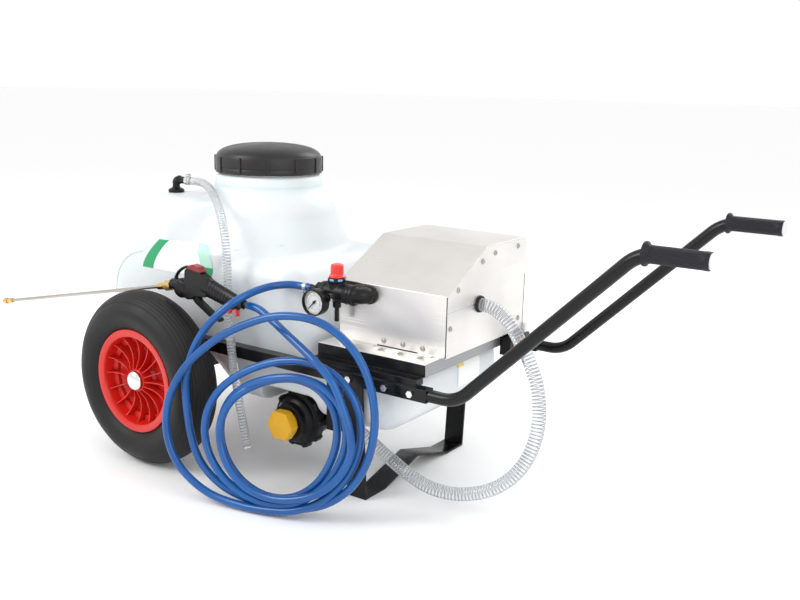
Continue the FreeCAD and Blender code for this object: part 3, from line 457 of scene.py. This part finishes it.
# How far each turn passes from the coil's middle, at its left, bottom, right and top, and how
# far it lies behind the coil's own leaning plane there, both in millimetres.
REACH = [211, 158, 212, 233, 259, 162, 186, 139, 162, 151, 156, 107, 132, 142, 134, 103,
         122, 134, 181, 176]
DEPTH = [9, 9, 4, -6, -9, -9, 8, 8, -6, -7, 6, -6, 9, 9, 9, 10, -10, -18, -14, -10]
COIL_MIDDLE = at(406.8, -348.6, 174.4)
COIL_ACROSS = Vector((1, 0.222, 0)).normalized()
COIL_AWAY = Vector((-0.222, 1, -0.15)).normalized()
COIL_UP = COIL_ACROSS.cross(COIL_AWAY)
COIL_QUARTERS = 18
STEPS_PER_QUARTER = 4
COIL_SQUARENESS = 0.055
# A spline of order 3 runs at this share of its control points' distance from the middle.
CORNER_CUT = 0.981


def coil_point(step):
    """A point of the coil, counted in steps from the left of its first turn."""
    quarter, part = divmod(step, STEPS_PER_QUARTER)
    share = (1 - math.cos(math.pi * part / STEPS_PER_QUARTER)) / 2
    reach = REACH[quarter] * (1 - share) + REACH[quarter + 1] * share
    depth = DEPTH[quarter] * (1 - share) + DEPTH[quarter + 1] * share
    angle = math.pi + math.pi / 2 * step / STEPS_PER_QUARTER
    reach *= 1 + COIL_SQUARENESS * math.sin(2 * angle) * (1 + math.sin(angle))
    reach *= MM / CORNER_CUT
    return (COIL_MIDDLE + COIL_ACROSS * reach * math.cos(angle)
            + COIL_UP * reach * math.sin(angle) + COIL_AWAY * depth * MM)


def strand(name, points, radius, made):
    """One smooth open spline through space with a round section."""
    curve = bpy.data.curves.new(name, "CURVE")
    curve.dimensions = "3D"
    curve.bevel_depth = radius
    curve.bevel_resolution = 6
    curve.resolution_u = 8
    curve.use_fill_caps = True
    spline = curve.splines.new("NURBS")
    spline.points.add(len(points) - 1)
    for spot, point in zip(spline.points, points):
        spot.co = (*point, 1)
    spline.order_u = 3
    spline.use_endpoint_u = True
    curve.materials.append(made)
    piece = bpy.data.objects.new(name, curve)
    bpy.context.collection.objects.link(piece)
    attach(piece, "cart")
    return piece


def centreline(piece):
    """Points read along a strand's own spline."""
    depth = piece.data.bevel_depth
    piece.data.bevel_depth = 0
    bpy.context.view_layer.update()
    flat = bpy.data.meshes.new_from_object(
        piece.evaluated_get(bpy.context.evaluated_depsgraph_get()))
    points = [v.co.copy() for v in flat.vertices]
    bpy.data.meshes.remove(flat)
    piece.data.bevel_depth = depth
    return points


def along(points, gap):
    """Places evenly spaced along a line of points, with the direction at each."""
    out = []
    carried = 0.0
    for a, b in zip(points, points[1:]):
        run = (b - a).length
        while carried < run:
            out.append((a.lerp(b, carried / run), (b - a).normalized()))
            carried += gap
        carried -= run
    return out


def spiral(name, piece, radius, thick, pitch, steps):
    """The wire wound inside the wall of a clear hose, in steps to the turn."""
    bm = bmesh.new()
    spots = along(centreline(piece), pitch / steps)
    side = spots[0][1].orthogonal().normalized()
    rings = []
    for i, (point, ahead) in enumerate(spots):
        side = (side - ahead * side.dot(ahead)).normalized()
        over = ahead.cross(side)
        angle = 2 * math.pi * i / steps
        out = side * math.cos(angle) + over * math.sin(angle)
        centre = point + out * radius
        rings.append([bm.verts.new(centre + thick * spoke) for spoke in (out, ahead, -out, -ahead)])
    bridge(bm, rings)
    finished(name, bm, wire, "cart", (), 95)


coil = [coil_point(i) for i in range(1, COIL_QUARTERS * STEPS_PER_QUARTER + 1)]
blue_hose = strand("pressure_hose", [at(*p) for p in OUTLET] + coil + [at(*p) for p in TO_GUN],
                   BLUE_R, hose_blue)
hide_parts("hose_outlet", "hose_coil", "hose_gun")

suction = strand("suction_hose_clear", [at(*p) for p in SUCTION], SUCTION_R, hose_clear)
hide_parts("suction_hose")
spiral("suction_wire", suction, SUCTION_R - 0.0021, 0.001, 0.0072, 20)

vent = strand("vent_hose_clear", [at(*p) for p in VENT], VENT_R, hose_clear)
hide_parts("vent_hose")
spiral("vent_wire", vent, VENT_R - 0.0017, 0.00085, 0.0068, 16)

# ---- tank: one rotomoulded skin --------------------------------------------------------
TOWER = middle("tank_lid")
TOWER.z = 0
VENT_X, VENT_Y = -140, -95
# The neck, the vent hole and the drain hole: origin, axis, radius, start and end.
BORES = ((TOWER, Z, 0.1165, 0.6, 0.7), (at(VENT_X, VENT_Y, 0), Z, 0.009, 0.56, 0.6),
         (at(311, 0, 125), -Y, 0.015, 0.06, 0.115))


def in_bore(spot, bore, ease=1.0):
    """Whether a place lies in a bore, widened by ease."""
    origin, axis, radius, start, end = bore
    away = spot - origin
    return start < away.dot(axis) < end and away.cross(axis).length < radius * ease


TANK_VOXEL, TANK_ROUNDS = 0.005, 14
RIM_EASE = 1.2


def tank_skin():
    """The outside of the tank, closed below its neck, with the creases of its form blended."""
    bm = copied("tank_shell")
    inner = [f for f in bm.faces
             if any(in_bore(f.calc_center_median(), bore) for bore in BORES)]
    bmesh.ops.delete(bm, geom=inner, context="FACES")
    queue = [min(bm.verts, key=lambda v: v.co.x).link_faces[0]]
    outside = set(queue)
    while queue:
        for edge in queue.pop().edges:
            for face in edge.link_faces:
                if face not in outside:
                    outside.add(face)
                    queue.append(face)
    bmesh.ops.delete(bm, geom=[f for f in bm.faces if f not in outside], context="FACES")
    rims = [e for e in bm.edges if e.is_boundary]
    for bore in BORES:
        near = [e for e in rims if in_bore(e.verts[0].co, bore, RIM_EASE)]
        hub = bm.verts.new(sum((e.verts[0].co for e in near), Vector()) / len(near))
        for edge in near:
            bm.faces.new([edge.verts[0], edge.verts[1], hub])
    return remeshed(bm, TANK_VOXEL, TANK_ROUNDS)


tank = finished("tank_skin", tank_skin(), tank_white, "cart", ["tank_shell"], 80)
tank_tree = BVHTree.FromObject(tank, bpy.context.evaluated_depsgraph_get())


def on_tank(x, z, side, proud):
    """The place on the tank's flank that is level with x, z, a little proud of it."""
    hit, normal = tank_tree.ray_cast(at(x, 400 * side, z), -Y * side)[:2]
    return hit + normal * proud if hit else None


def on_tank_rear(y, z, proud):
    """The same on the tank's rear, below the tray."""
    hit, normal = tank_tree.ray_cast(at(800, y, z), -X)[:2]
    return hit + normal * proud


def neck():
    """The threaded neck, with the shoulder that it stands on."""
    bm = bmesh.new()
    profile = [(0.1285, 0.622), (0.1262, 0.632), (0.1245, 0.640), (0.1215, 0.6445),
               (0.1175, 0.6465), (0.115, 0.648), (0.1165, 0.651), (0.1165, 0.655), (0.115, 0.658),
               (0.115, 0.668), (0.1165, 0.671), (0.1165, 0.675), (0.115, 0.678), (0.115, 0.686),
               (0.114, 0.687), (0.104, 0.687), (0.104, 0.622), (0.1285, 0.622)]
    lathe(bm, profile, TOWER, Z, 96)
    return bm


finished("tank_neck", neck(), tank_white, "cart", ())


def ridge(name, points, side):
    """A moulded line that stands a little proud of the tank's flank."""
    spots = [on_tank(x, z, side, 0.0) for x, z in points]
    line = strand(name, [s for s in spots if s is not None], 0.0015, tank_white)
    line.data.bevel_resolution = 3
    line.data.resolution_u = 6


def arc(middle_x, middle_z, wide, high, start, end):
    """Points on an oval from one angle to another, in degrees."""
    turns = [math.radians(start + (end - start) * i / 14) for i in range(15)]
    return [(middle_x + wide * math.cos(a), middle_z + high * math.sin(a)) for a in turns]


for flank, word in ((-1, "near"), (1, "far")):
    ridge("shoulder_line_" + word, [(140, 490), (180, 496), (225, 502), (265, 506)]
          + arc(300, 476, 66, 30, 96, 12), flank)
    ridge("hump_line_" + word, arc(-130, 340, 120, 118, 176, 96), flank)


def film(name, made, rows):
    """A thin printed film through rows of places."""
    bm = bmesh.new()
    rows = [[bm.verts.new(place) for place in row] for row in rows]
    for one, two in zip(rows, rows[1:]):
        for i in range(len(one) - 1):
            bm.faces.new([one[i], one[i + 1], two[i + 1], two[i]])
    bmesh.ops.solidify(bm, geom=bm.faces[:], thickness=0.0003)
    finished(name, bm, made, "cart", (), 80)


# How proud of the tank a film lies, and a film that lies over another one.
PROUD, OVERLAID = 0.0008, 0.0013


def sticker(name, made, first, last, low, high, proud):
    """A film on the tank's rear, from first to last along Y and from low to high."""
    steps = max(2, round((last - first) / 7))
    film(name, made, [[on_tank_rear(first + (last - first) * i / steps,
                                    low + (high - low) * k / 12, proud)
                       for i in range(steps + 1)] for k in range(13)])


LABEL_LOW, LABEL_HIGH, LABEL_LEAN = 420, 493, 62


def label(name, made, first, last, high=1.0, proud=PROUD):
    """A part of the leaning label, up to a share of its height. first and last give its ends."""
    rows = []
    for k in range(17):
        up = high * k / 16
        start, end = first(up), last(up)
        z = LABEL_LOW + (LABEL_HIGH - LABEL_LOW) * up
        rows.append([on_tank(start + (end - start) * i / 24, z, -1, proud) for i in range(25)])
    film(name, made, rows)


def label_front(up):
    """The bowed front edge of the label at a share of its height."""
    return -143 + LABEL_LEAN * up ** 1.5


def label_rear(up):
    """The rounded rear edge."""
    return 60 + 38 * math.sqrt(max(0.0, 1 - (1.7 * up - 0.8) ** 2)) - 14 * up


label("label_front_band", film_green, label_front, lambda up: label_front(up) + 37 - 7 * up)
label("label_face", film_white, lambda up: label_front(up) + 37.6 - 7 * up,
      lambda up: label_rear(up) - 38)
label("label_rear_band", film_pale, lambda up: label_rear(up) - 37.4, label_rear)
label("label_rear_foot", film_green, lambda up: label_rear(up) - 32 + 24 * up, label_rear,
      0.34, OVERLAID)
sticker("sticker_white", film_white, 4, 96, 218, 282, PROUD)
sticker("sticker_yellow", film_yellow, 4, 28, 262, 282, OVERLAID)


# ---- lid -------------------------------------------------------------------------------
def lid():
    """The domed lid, hollow below, with its grip ribs and the ring moulded on its top."""
    bm = bmesh.new()
    profile = [(0, 0.719), (0.012, 0.7188), (0.03, 0.7181), (0.05, 0.7167), (0.07, 0.7144),
               (0.088, 0.7110), (0.100, 0.7076), (0.109, 0.7038), (0.1155, 0.6997),
               (0.1205, 0.6950), (0.1225, 0.6915), (0.1232, 0.6898), (0.1255, 0.6885),
               (0.1265, 0.686), (0.1265, 0.6645), (0.1258, 0.6638), (0.1258, 0.6615),
               (0.1265, 0.6605), (0.1265, 0.6525), (0.1255, 0.65), (0.1190, 0.65),
               (0.1190, 0.694), (0, 0.694)]
    lathe(bm, profile, TOWER, Z, 128)
    for i in range(12):
        turn = Matrix.Translation(TOWER) @ Matrix.Rotation(math.radians(30 * i + 11), 4, "Z")
        block(bm, (0.124, -0.0024, 0.6525), (0.1288, 0.0024, 0.6885), 0.0009, turn)
    lathe(bm, [(0.017, 0.7155), (0.017, 0.7195), (0.0155, 0.7198), (0.014, 0.7195),
               (0.014, 0.7155)], TOWER - Z * 0.001, Z, 48)
    return bm


finished("lid_moulding", lid(), lid_plastic, "lid", ["tank_lid"])


# ---- vent elbow ------------------------------------------------------------------------
def vent_fitting():
    """The elbow on the tank: its flange, its bend and the barb that holds the hose."""
    bm = bmesh.new()
    thick, bend_r = 0.0092, 0.009
    lathe(bm, [(0, -0.012), (0.0079, -0.012), (0.0079, 0), (0.019, 0), (0.0195, 0.003),
               (0.0185, 0.0075), (0.013, 0.0105), (0.0095, 0.012), (0.0085, 0.020),
               (0.0085, 0.022), (0, 0.022)], at(VENT_X, VENT_Y, 590), Z, 40)
    bend = at(VENT_X, VENT_Y, 612)
    rings = []
    for i in range(9):
        angle = math.pi / 2 * i / 8
        centre = bend + X * bend_r * (1 - math.cos(angle)) + Z * bend_r * math.sin(angle)
        out = -X * math.cos(angle) + Z * math.sin(angle)
        rings.append(ring_of(bm, centre, out * thick, Y * thick))
    bridge(bm, rings)
    lathe(bm, [(0, 0), (0.0092, 0), (0.0105, 0.001), (0.0105, 0.004), (0.0085, 0.005),
               (0.0085, 0.0245), (0, 0.0245)], at(VENT_X + 9, VENT_Y, 621), X, 32)
    return bm


finished("vent_fitting", vent_fitting(), black_plastic, "cart", ["vent_elbow"])


# ---- wheels ----------------------------------------------------------------------------
def three_point_arc(a, b, c, count):
    """Points from a to c on the circle through a, b and c."""
    (ax, ay), (bx, by), (cx, cy) = a, b, c
    scale = 2 * (ax * (by - cy) + bx * (cy - ay) + cx * (ay - by))
    sa, sb, sc = ax * ax + ay * ay, bx * bx + by * by, cx * cx + cy * cy
    ox = (sa * (by - cy) + sb * (cy - ay) + sc * (ay - by)) / scale
    oy = (sa * (cx - bx) + sb * (ax - cx) + sc * (bx - ax)) / scale
    radius = math.hypot(ax - ox, ay - oy)
    start = math.atan2(ay - oy, ax - ox)
    sweep = (math.atan2(cy - oy, cx - ox) - start + math.pi) % (2 * math.pi) - math.pi
    return [(ox + radius * math.cos(start + sweep * i / count),
             oy + radius * math.sin(start + sweep * i / count)) for i in range(count + 1)]


WHEEL_R, TYRE_HALF, RIM_R, RIM_HALF = 0.2, 0.054, 0.118, 0.042
WELL_R = RIM_R - 0.014
TREAD_GROOVES = (0.006, 0.014, 0.0215, 0.0285, 0.035, 0.0405)
SIDE_RINGS = (0.141, 0.168)
GROOVE_DEPTH, GROOVE_HALF = 0.0014, 0.0012
RING_HEIGHT, RING_HALF = 0.0007, 0.0018
SPOKES = 16
HUB_OUT, CAP_OUT = 0.326, 0.365


def tyre_profile():
    """The tyre's section, with grooves round its tread and rings on its walls."""
    shoulder = (0.178, -0.042)
    half = three_point_arc((RIM_R + 0.001, -RIM_HALF + 0.004), (0.148, -TYRE_HALF), shoulder, 22)
    half += three_point_arc(shoulder, (0.1945, -0.024), (WHEEL_R, 0), 56)[1:]
    out = []
    for radius, side in half:
        if radius > shoulder[0]:
            near = min(abs(abs(side) - g) for g in TREAD_GROOVES)
            radius -= GROOVE_DEPTH * max(0.0, 1 - near / GROOVE_HALF)
        else:
            near = min(abs(radius - r) for r in SIDE_RINGS)
            side += RING_HEIGHT * max(0.0, 1 - near / RING_HALF)
        out.append((radius, side))
    whole = [(WELL_R, out[0][1])] + out + [(r, -s) for r, s in out[-2::-1]]
    return whole + [(WELL_R, -out[0][1]), (WELL_R, out[0][1])]


def rim_shape(centre, outward):
    """The rim: its dish and hub, its bowed spokes, and the steps between them."""
    bm = bmesh.new()
    lathe(bm, [(0.014, -0.033), (0.026, -0.033), (0.0275, 0.005), (0.034, 0.005),
               (0.098, -0.006), (0.0995, -RIM_HALF + 0.002), (0.101, -RIM_HALF),
               (RIM_R - 0.001, -RIM_HALF), (RIM_R, -RIM_HALF + 0.001),
               (RIM_R, -RIM_HALF + 0.004), (WELL_R, -RIM_HALF + 0.006),
               (WELL_R, RIM_HALF - 0.006), (RIM_R, RIM_HALF - 0.004), (RIM_R, RIM_HALF - 0.001),
               (RIM_R - 0.001, RIM_HALF), (0.105, RIM_HALF), (0.1015, RIM_HALF - 0.002),
               (0.0995, RIM_HALF - 0.006), (0.0985, RIM_HALF - 0.012), (0.0965, 0.012),
               (0.088, 0.0055), (0.070, 0.003), (0.036, 0.005), (0.030, 0.010),
               (0.0272, 0.022), (0.0255, 0.032), (0.0245, 0.033), (0.014, 0.033),
               (0.014, -0.033)], centre, outward, 128)
    basis = Matrix.Translation(centre) @ turn_to(outward)
    stand_up = Matrix.Rotation(math.pi / 2, 4, "X")
    for i in range(SPOKES):
        turn = basis @ Matrix.Rotation(2 * math.pi * i / SPOKES, 4, "Z") @ stand_up
        plate(bm, [(0.025, 0.006), (0.025, 0.0315), (0.032, 0.0285), (0.045, 0.0225),
                   (0.060, 0.0200), (0.075, 0.0210), (0.088, 0.0255), (0.0985, 0.0325),
                   (0.0985, 0.004)], 0.0022, turn)
        step_turn = basis @ Matrix.Rotation(2 * math.pi * (i + 0.5) / SPOKES, 4, "Z") @ stand_up
        plate(bm, [(0.084, 0.003), (0.086, 0.0125), (0.0975, 0.0155), (0.0985, 0.004)],
              0.029, step_turn)
    return bm


def hub_cap(bm, centre, outward):
    """A domed push-on cap at the end of the axle."""
    lathe(bm, [(0.0102, -0.004), (0.0222, -0.004), (0.0227, -0.0032), (0.0227, -0.0008),
               (0.0222, 0.0002), (0.0205, 0.0022), (0.0175, 0.0045), (0.0135, 0.0062),
               (0.009, 0.0074), (0.0055, 0.0079), (0.0045, 0.0072), (0.0025, 0.0066),
               (0, 0.0064)], centre, outward, 48)


caps = bmesh.new()
for side, word in ((-1, "near"), (1, "far")):
    hub = AXLE + Y * side * HUB_OUT
    rubber = bmesh.new()
    lathe(rubber, tyre_profile(), hub, Y * side, 160)
    finished("tyre_tread_" + word, rubber, tyre_rubber, "wheel_" + word, ["tyre_" + word],
             50)
    finished("rim_moulding_" + word, rim_shape(hub, Y * side), rim_plastic, "wheel_" + word,
             ["rim_" + word], 32)
    hub_cap(caps, AXLE + Y * side * CAP_OUT, Y * side)
finished("hub_cap_domes", caps, chrome, "cart", ["hub_caps"], 50)


# ---- grips -----------------------------------------------------------------------------
GRIP_FLUTES, FLUTE_DEPTH = 24, 0.0007


def grip(side):
    """A ribbed rubber sleeve: shallow flutes along it, a flange in front, a bead behind."""
    bm = bmesh.new()
    profile = [(0.0126, 0), (0.0198, 0), (0.0208, 0.001), (0.021, 0.003), (0.0205, 0.0055),
               (0.0175, 0.0075), (0.0158, 0.010)]
    fluted = len(profile)
    profile += [(0.0153, 0.012 + 0.0855 * i / 10) for i in range(11)]
    plain = len(profile)
    profile += [(0.0155, 0.0985), (0.0158, 0.1), (0.0158, 0.1055), (0.0152, 0.108),
                (0.0126, 0.108), (0.0126, 0)]

    def flute(angle, k):
        return -FLUTE_DEPTH * max(0.0, math.cos(GRIP_FLUTES * angle)) if fluted <= k < plain else 0

    lathe(bm, profile, at(1100, 233 * side, 604), X, 120, flute)
    return bm


for side, word in ((-1, "near"), (1, "far")):
    finished("grip_sleeve_" + word, grip(side), grip_rubber, "cart", ["grip_" + word],
             60)


# ---- pump box details ------------------------------------------------------------------
def screw_head(bm, place, axis):
    """A pan head with a recessed drive, on a small washer."""
    lathe(bm, [(0.0062, 0), (0.0062, 0.0006), (0.0049, 0.0007), (0.0048, 0.0018),
               (0.0038, 0.0027), (0.0022, 0.003), (0.0017, 0.0029), (0.0014, 0.0014),
               (0, 0.0014)], place, axis, 20)


screws = bmesh.new()
for y, z in ((23, 522), (124, 524), (-29, 511), (-123, 466), (-149, 392), (140, 360)):
    screw_head(screws, at(690, y, z), X)
for x in (540, 588, 636):
    screw_head(screws, at(x, -163, 345), -Y)
    screw_head(screws, at(x + 8, -185, 332), Z)
for z in (496, 359):
    screw_head(screws, at(683, 163, z), Y)
finished("box_screw_heads", screws, steel, "cart", ["box_screws"])

trim = bmesh.new()
block(trim, at(524, -163.8, 332.3), at(624, -162.9, 335.2), 0.0002)
block(trim, at(688.6, -163.5, 334), at(690.5, -162.2, 458), 0.0002)
block(trim, at(688.6, 161.6, 334), at(690.5, 163.5, 458), 0.0002)
finished("wall_slot", trim, dial_black, "cart")

flange = bmesh.new()
block(flange, at(520, -171.5, 332.2), at(660, -163.6, 333.4), 0.0003)
finished("wall_foot", flange, stainless, "cart", ())

latch = bmesh.new()
block(latch, at(684, 163, 322), at(697, 176, 344), 0.002)
finished("rear_latch", latch, pale_plastic, "cart")


# ---- regulator -------------------------------------------------------------------------
REGULATOR = at(438, -190, 437)


def regulator_extra(bm):
    """Two flanges and a neck that are moulded with the regulator's body."""
    for shift in (-0.028, 0.028):
        lathe(bm, [(0, 0), (0.0215, 0), (0.0215, 0.004), (0, 0.004)], REGULATOR + X * shift, X, 40)
    lathe(bm, [(0, 0), (0.018, 0), (0.0155, 0.02), (0, 0.02)], REGULATOR + Z * 0.010, Z, 40)


moulded("regulator_casting", ["regulator_body"], 0.0013, 5, black_plastic, "cart",
        regulator_extra)
moulded("regulator_bend", ["regulator_elbow"], 0.0013, 8, black_plastic, "cart")

ring = bmesh.new()
lathe(ring, [(0.0145, 0), (0.0182, 0), (0.0188, 0.001), (0.0188, 0.0035), (0.0182, 0.0045),
             (0.0145, 0.0045), (0.0145, 0)], REGULATOR + Z * 0.026, Z, 48)
finished("knob_ring", ring, pale_blue, "cart")


KNOB_RIBS, RIB_DEPTH = 20, 0.0006


def knob():
    """The adjusting knob, ribbed round its waist."""
    bm = bmesh.new()
    profile = [(0, 0), (0.0165, 0), (0.0172, 0.0008), (0.0172, 0.0032), (0.0165, 0.004),
               (0.0142, 0.006), (0.0139, 0.008), (0.0134, 0.023), (0.0131, 0.0255),
               (0.0118, 0.0275), (0.0095, 0.028), (0.0085, 0.0272), (0, 0.0268)]
    first_ribbed, last_ribbed = 5, 9

    def rib(angle, k):
        wave = 0.5 + 0.5 * math.cos(KNOB_RIBS * angle)
        return -RIB_DEPTH * wave if first_ribbed <= k <= last_ribbed else 0

    lathe(bm, profile, REGULATOR + Z * 0.032, Z, 120, rib)
    return bm


finished("knob_ribbed", knob(), red_plastic, "knob", ["regulator_knob"], 60)

# ---- gauge -----------------------------------------------------------------------------
GAUGE = at(417, -220, 421)
case = bmesh.new()
lathe(case, [(0, 0), (0.0245, 0), (0.0262, 0.0008), (0.0272, 0.0025), (0.0275, 0.005),
             (0.0275, 0.0165), (0.0283, 0.0175), (0.0283, 0.0238), (0.0278, 0.0248),
             (0.0262, 0.025), (0.0253, 0.0245), (0.0253, 0.0176), (0, 0.0176)], GAUGE, -Y, 72)
finished("gauge_housing", case, black_plastic, "cart", ["gauge_case"])
dial = bmesh.new()
lathe(dial, [(0, 0), (0.0251, 0), (0.0251, 0.0003), (0, 0.0003)], GAUGE - Y * 0.0176, -Y, 64)
finished("gauge_dial", dial, dial_white, "cart")
DIAL_START, DIAL_SWEEP, DIVISIONS = 225, 270, 40
marks = bmesh.new()
DIAL_FACE = Matrix.Translation(GAUGE - Y * 0.018) @ Matrix.Rotation(math.pi / 2, 4, "X")
for i in range(DIVISIONS + 1):
    angle = math.radians(DIAL_START - DIAL_SWEEP * i / DIVISIONS)
    inner, edge = (0.0200, 0.00012) if i % 5 else (0.0175, 0.0003)
    block(marks, (inner, -0.0003, 0), (0.0222, edge, 0.0002),
          matrix=DIAL_FACE @ Matrix.Rotation(angle, 4, "Z"))
for radius in (0.0226, 0.0145):
    lathe(marks, [(radius, 0), (radius + 0.0003, 0), (radius + 0.0003, 0.0002), (radius, 0.0002),
                  (radius, 0)], DIAL_FACE.translation, -Y, 72)
finished("gauge_marks", marks, dial_black, "cart")
stub = bmesh.new()
for radius, start, end, steps in ((0.0115, 0.0005, 0.011, 6), (0.0075, 0.011, 0.016, 24)):
    lathe(stub, [(0, start), (radius, start), (radius, end), (0, end)], GAUGE, Y, steps)
block(stub, at(431, -217, 424), at(443, -203, 438), 0.001)
finished("gauge_nut", stub, chrome, "cart", (), 20)


# ---- filter ----------------------------------------------------------------------------
FILTER = at(311, -170, 125)
LUGS = 10
UNION_R, UNION_LENGTH = 0.062, 0.025


def filter_body():
    """The filter's body: its union is drawn in, so that the grip lugs reach its full size."""
    bm = copied("filter_body")
    for v in bm.verts:
        away = v.co - FILTER
        out = math.hypot(away.x, away.z)
        if -0.001 < away.y < UNION_LENGTH and out > UNION_R - 0.002:
            v.co.x = FILTER.x + away.x * UNION_R / out
            v.co.z = FILTER.z + away.z * UNION_R / out
    basis = Matrix.Translation(FILTER) @ turn_to(Y)
    for i in range(LUGS):
        block(bm, (0.058, -0.007, 0.001), (0.0675, 0.007, 0.023),
              matrix=basis @ Matrix.Rotation(2 * math.pi * i / LUGS, 4, "Z"))
    lathe(bm, [(0, 0), (0.052, 0), (0.052, 0.008), (0.046, 0.014), (0, 0.014)], FILTER, -Y, 64)
    return remeshed(bm, 0.002, 5)


finished("filter_housing", filter_body(), black_plastic, "cart", ["filter_body"],
         60)
moulded("filter_cap_moulding", ["filter_cap"], 0.0014, 14, yellow_plastic, "filter_bowl")


# ---- gun -------------------------------------------------------------------------------
GUN_Y = -285


def tube(bm, spots):
    """An oval bar through (x, z, half height, half width) in the gun's own upright plane."""
    places = [at(x, GUN_Y, z) for x, z, _, _ in spots]
    rings = []
    for i, (_, _, high, wide) in enumerate(spots):
        ahead = (places[min(i + 1, len(spots) - 1)] - places[max(i - 1, 0)]).normalized()
        over = Y.cross(ahead)
        rings.append(ring_of(bm, places[i], over * high * MM, Y * wide * MM))
    bridge(bm, rings)


def gun_shell():
    """Valve chest, hanging loop, thumb rest and ribbed grip, as one moulding."""
    bm = bmesh.new()
    lathe(bm, [(0, -0.0139), (0.012, -0.0137), (0.018, -0.0115), (0.0215, -0.007),
               (0.0225, 0), (0.0215, 0.007), (0.018, 0.0115), (0.012, 0.0137), (0, 0.0139)],
          at(81, GUN_Y, 412), Y, 56)
    lathe(bm, [(0, 0), (0.0125, 0), (0.0125, 0.010), (0.0145, 0.012), (0.0145, 0.020), (0, 0.020)],
          at(48.5, GUN_Y, 417), X, 40)
    tube(bm, [(58, 424, 4, 5), (61, 435, 3.2, 5), (69, 446.5, 3.2, 5), (81, 455.5, 3.2, 5),
              (93, 460.5, 3.4, 5), (106, 460, 4, 6), (116, 456, 5, 7)])
    plate(bm, [(x * MM, z * MM) for x, z in (
        (95, 424), (96, 437), (97.5, 455), (104, 460), (142, 455), (152, 450), (168, 440),
        (172, 420), (158, 402), (128, 400), (116, 392), (104, 390), (90, 396))], 0.021,
        Matrix.Translation((AXLE.x, GUN_Y * MM, 0)) @ Matrix.Rotation(math.pi / 2, 4, "X"))
    tube(bm, [(138, 428, 23, 10), (156, 424, 21.5, 12), (176, 420, 20, 12.6), (200, 414, 18.5, 12.4),
              (224, 408, 17.5, 12), (244, 403, 16, 11.6), (254, 401, 13, 10.5), (256, 400.5, 10, 9)])
    for i in range(9):
        x = 170 + 8.4 * i
        z = 421.5 - 2.45 * i
        tube(bm, [(x, z, 21.6 - 0.5 * i, 13.7), (x + 3.8, z - 1.1, 21.4 - 0.5 * i, 13.6)])
    return remeshed(bm, 0.0011, 3)


finished("gun_grip", gun_shell(), black_plastic, "cart", ["gun_body"], 60)
hook = bmesh.new()
for x, z in ((221, 376), (243, 373)):
    block(hook, at(x, -290, z), at(x + 5, -280, z + 15), 0.0012)
block(hook, at(221, -290, 385), at(248, -280, 390), 0.0012)
finished("gun_foot_clip", hook, red_plastic, "cart")


# ---- hose clamps -----------------------------------------------------------------------
def clamp(bm, spot, axis, radius):
    """A worm-drive band: its strip, its screw housing and its screw's head."""
    wide = 0.009
    lathe(bm, [(radius + 0.0002, 0), (radius + 0.0009, 0), (radius + 0.0009, wide),
               (radius + 0.0002, wide), (radius + 0.0002, 0)], spot, axis, 48)
    basis = Matrix.Translation(spot) @ turn_to(axis) @ Matrix.Rotation(math.pi, 4, "Z")
    block(bm, (radius + 0.0006, -0.006, 0.0006), (radius + 0.0068, 0.005, wide - 0.0006),
          0.0008, basis)
    side = basis @ Matrix.Translation((radius + 0.0038, 0, wide / 2)) @ turn_to(-Y)
    lathe(bm, [(0, 0.005), (0.0032, 0.005), (0.0036, 0.006), (0.0036, 0.0095), (0.0028, 0.0105),
               (0.0008, 0.0105), (0.0008, 0.0095), (0, 0.0095)],
          side.translation, side.to_3x3() @ Z, 6)


bands = bmesh.new()
clamp(bands, at(-103, -95, 621), X, VENT_R)
clamp(bands, at(358, -190, 437), -X, BLUE_R)
clamp(bands, at(396, -124, 125), X, SUCTION_R)
finished("hose_bands", bands, zinc, "cart", ["hose_clamps"], 30)

# ---- stage -----------------------------------------------------------------------------
FLOOR_HALF, FLOOR_DROP = 60, 0.0005
floor_mesh = bmesh.new()
bmesh.ops.create_grid(floor_mesh, x_segments=1, y_segments=1, size=FLOOR_HALF)
floor_data = bpy.data.meshes.new("floor")
floor_mesh.to_mesh(floor_data)
floor_mesh.free()
floor = bpy.data.objects.new("floor", floor_data)
floor.location.z = -FLOOR_DROP
bpy.context.collection.objects.link(floor)
floor_data.materials.append(shade("floor_paper", (0.97, 0.97, 0.97), 0.8))

bpy.context.scene.view_settings.view_transform = "Standard"
world = bpy.data.worlds.new("studio")
bpy.context.scene.world = world
world.use_nodes = True
world.node_tree.nodes["Background"].inputs["Color"].default_value = (1, 1, 1, 1)
world.node_tree.nodes["Background"].inputs["Strength"].default_value = 1.0


LIT_SPOT = Vector((0, 0, 0.3))


def lamp(name, place, size, power):
    """A soft square lamp that looks at the cart."""
    light = bpy.data.lights.new(name, "AREA")
    light.size = size
    light.energy = power
    holder = bpy.data.objects.new(name, light)
    holder.location = place
    holder.rotation_mode = "QUATERNION"
    holder.rotation_quaternion = (LIT_SPOT - Vector(place)).to_track_quat("-Z", "Y")
    bpy.context.collection.objects.link(holder)


lamp("key", (-1.6, -2.6, 2.6), 1.6, 60)
lamp("fill", (2.8, -1.2, 1.8), 2.0, 22)
lamp("rim", (0.5, 2.6, 2.4), 1.8, 35)
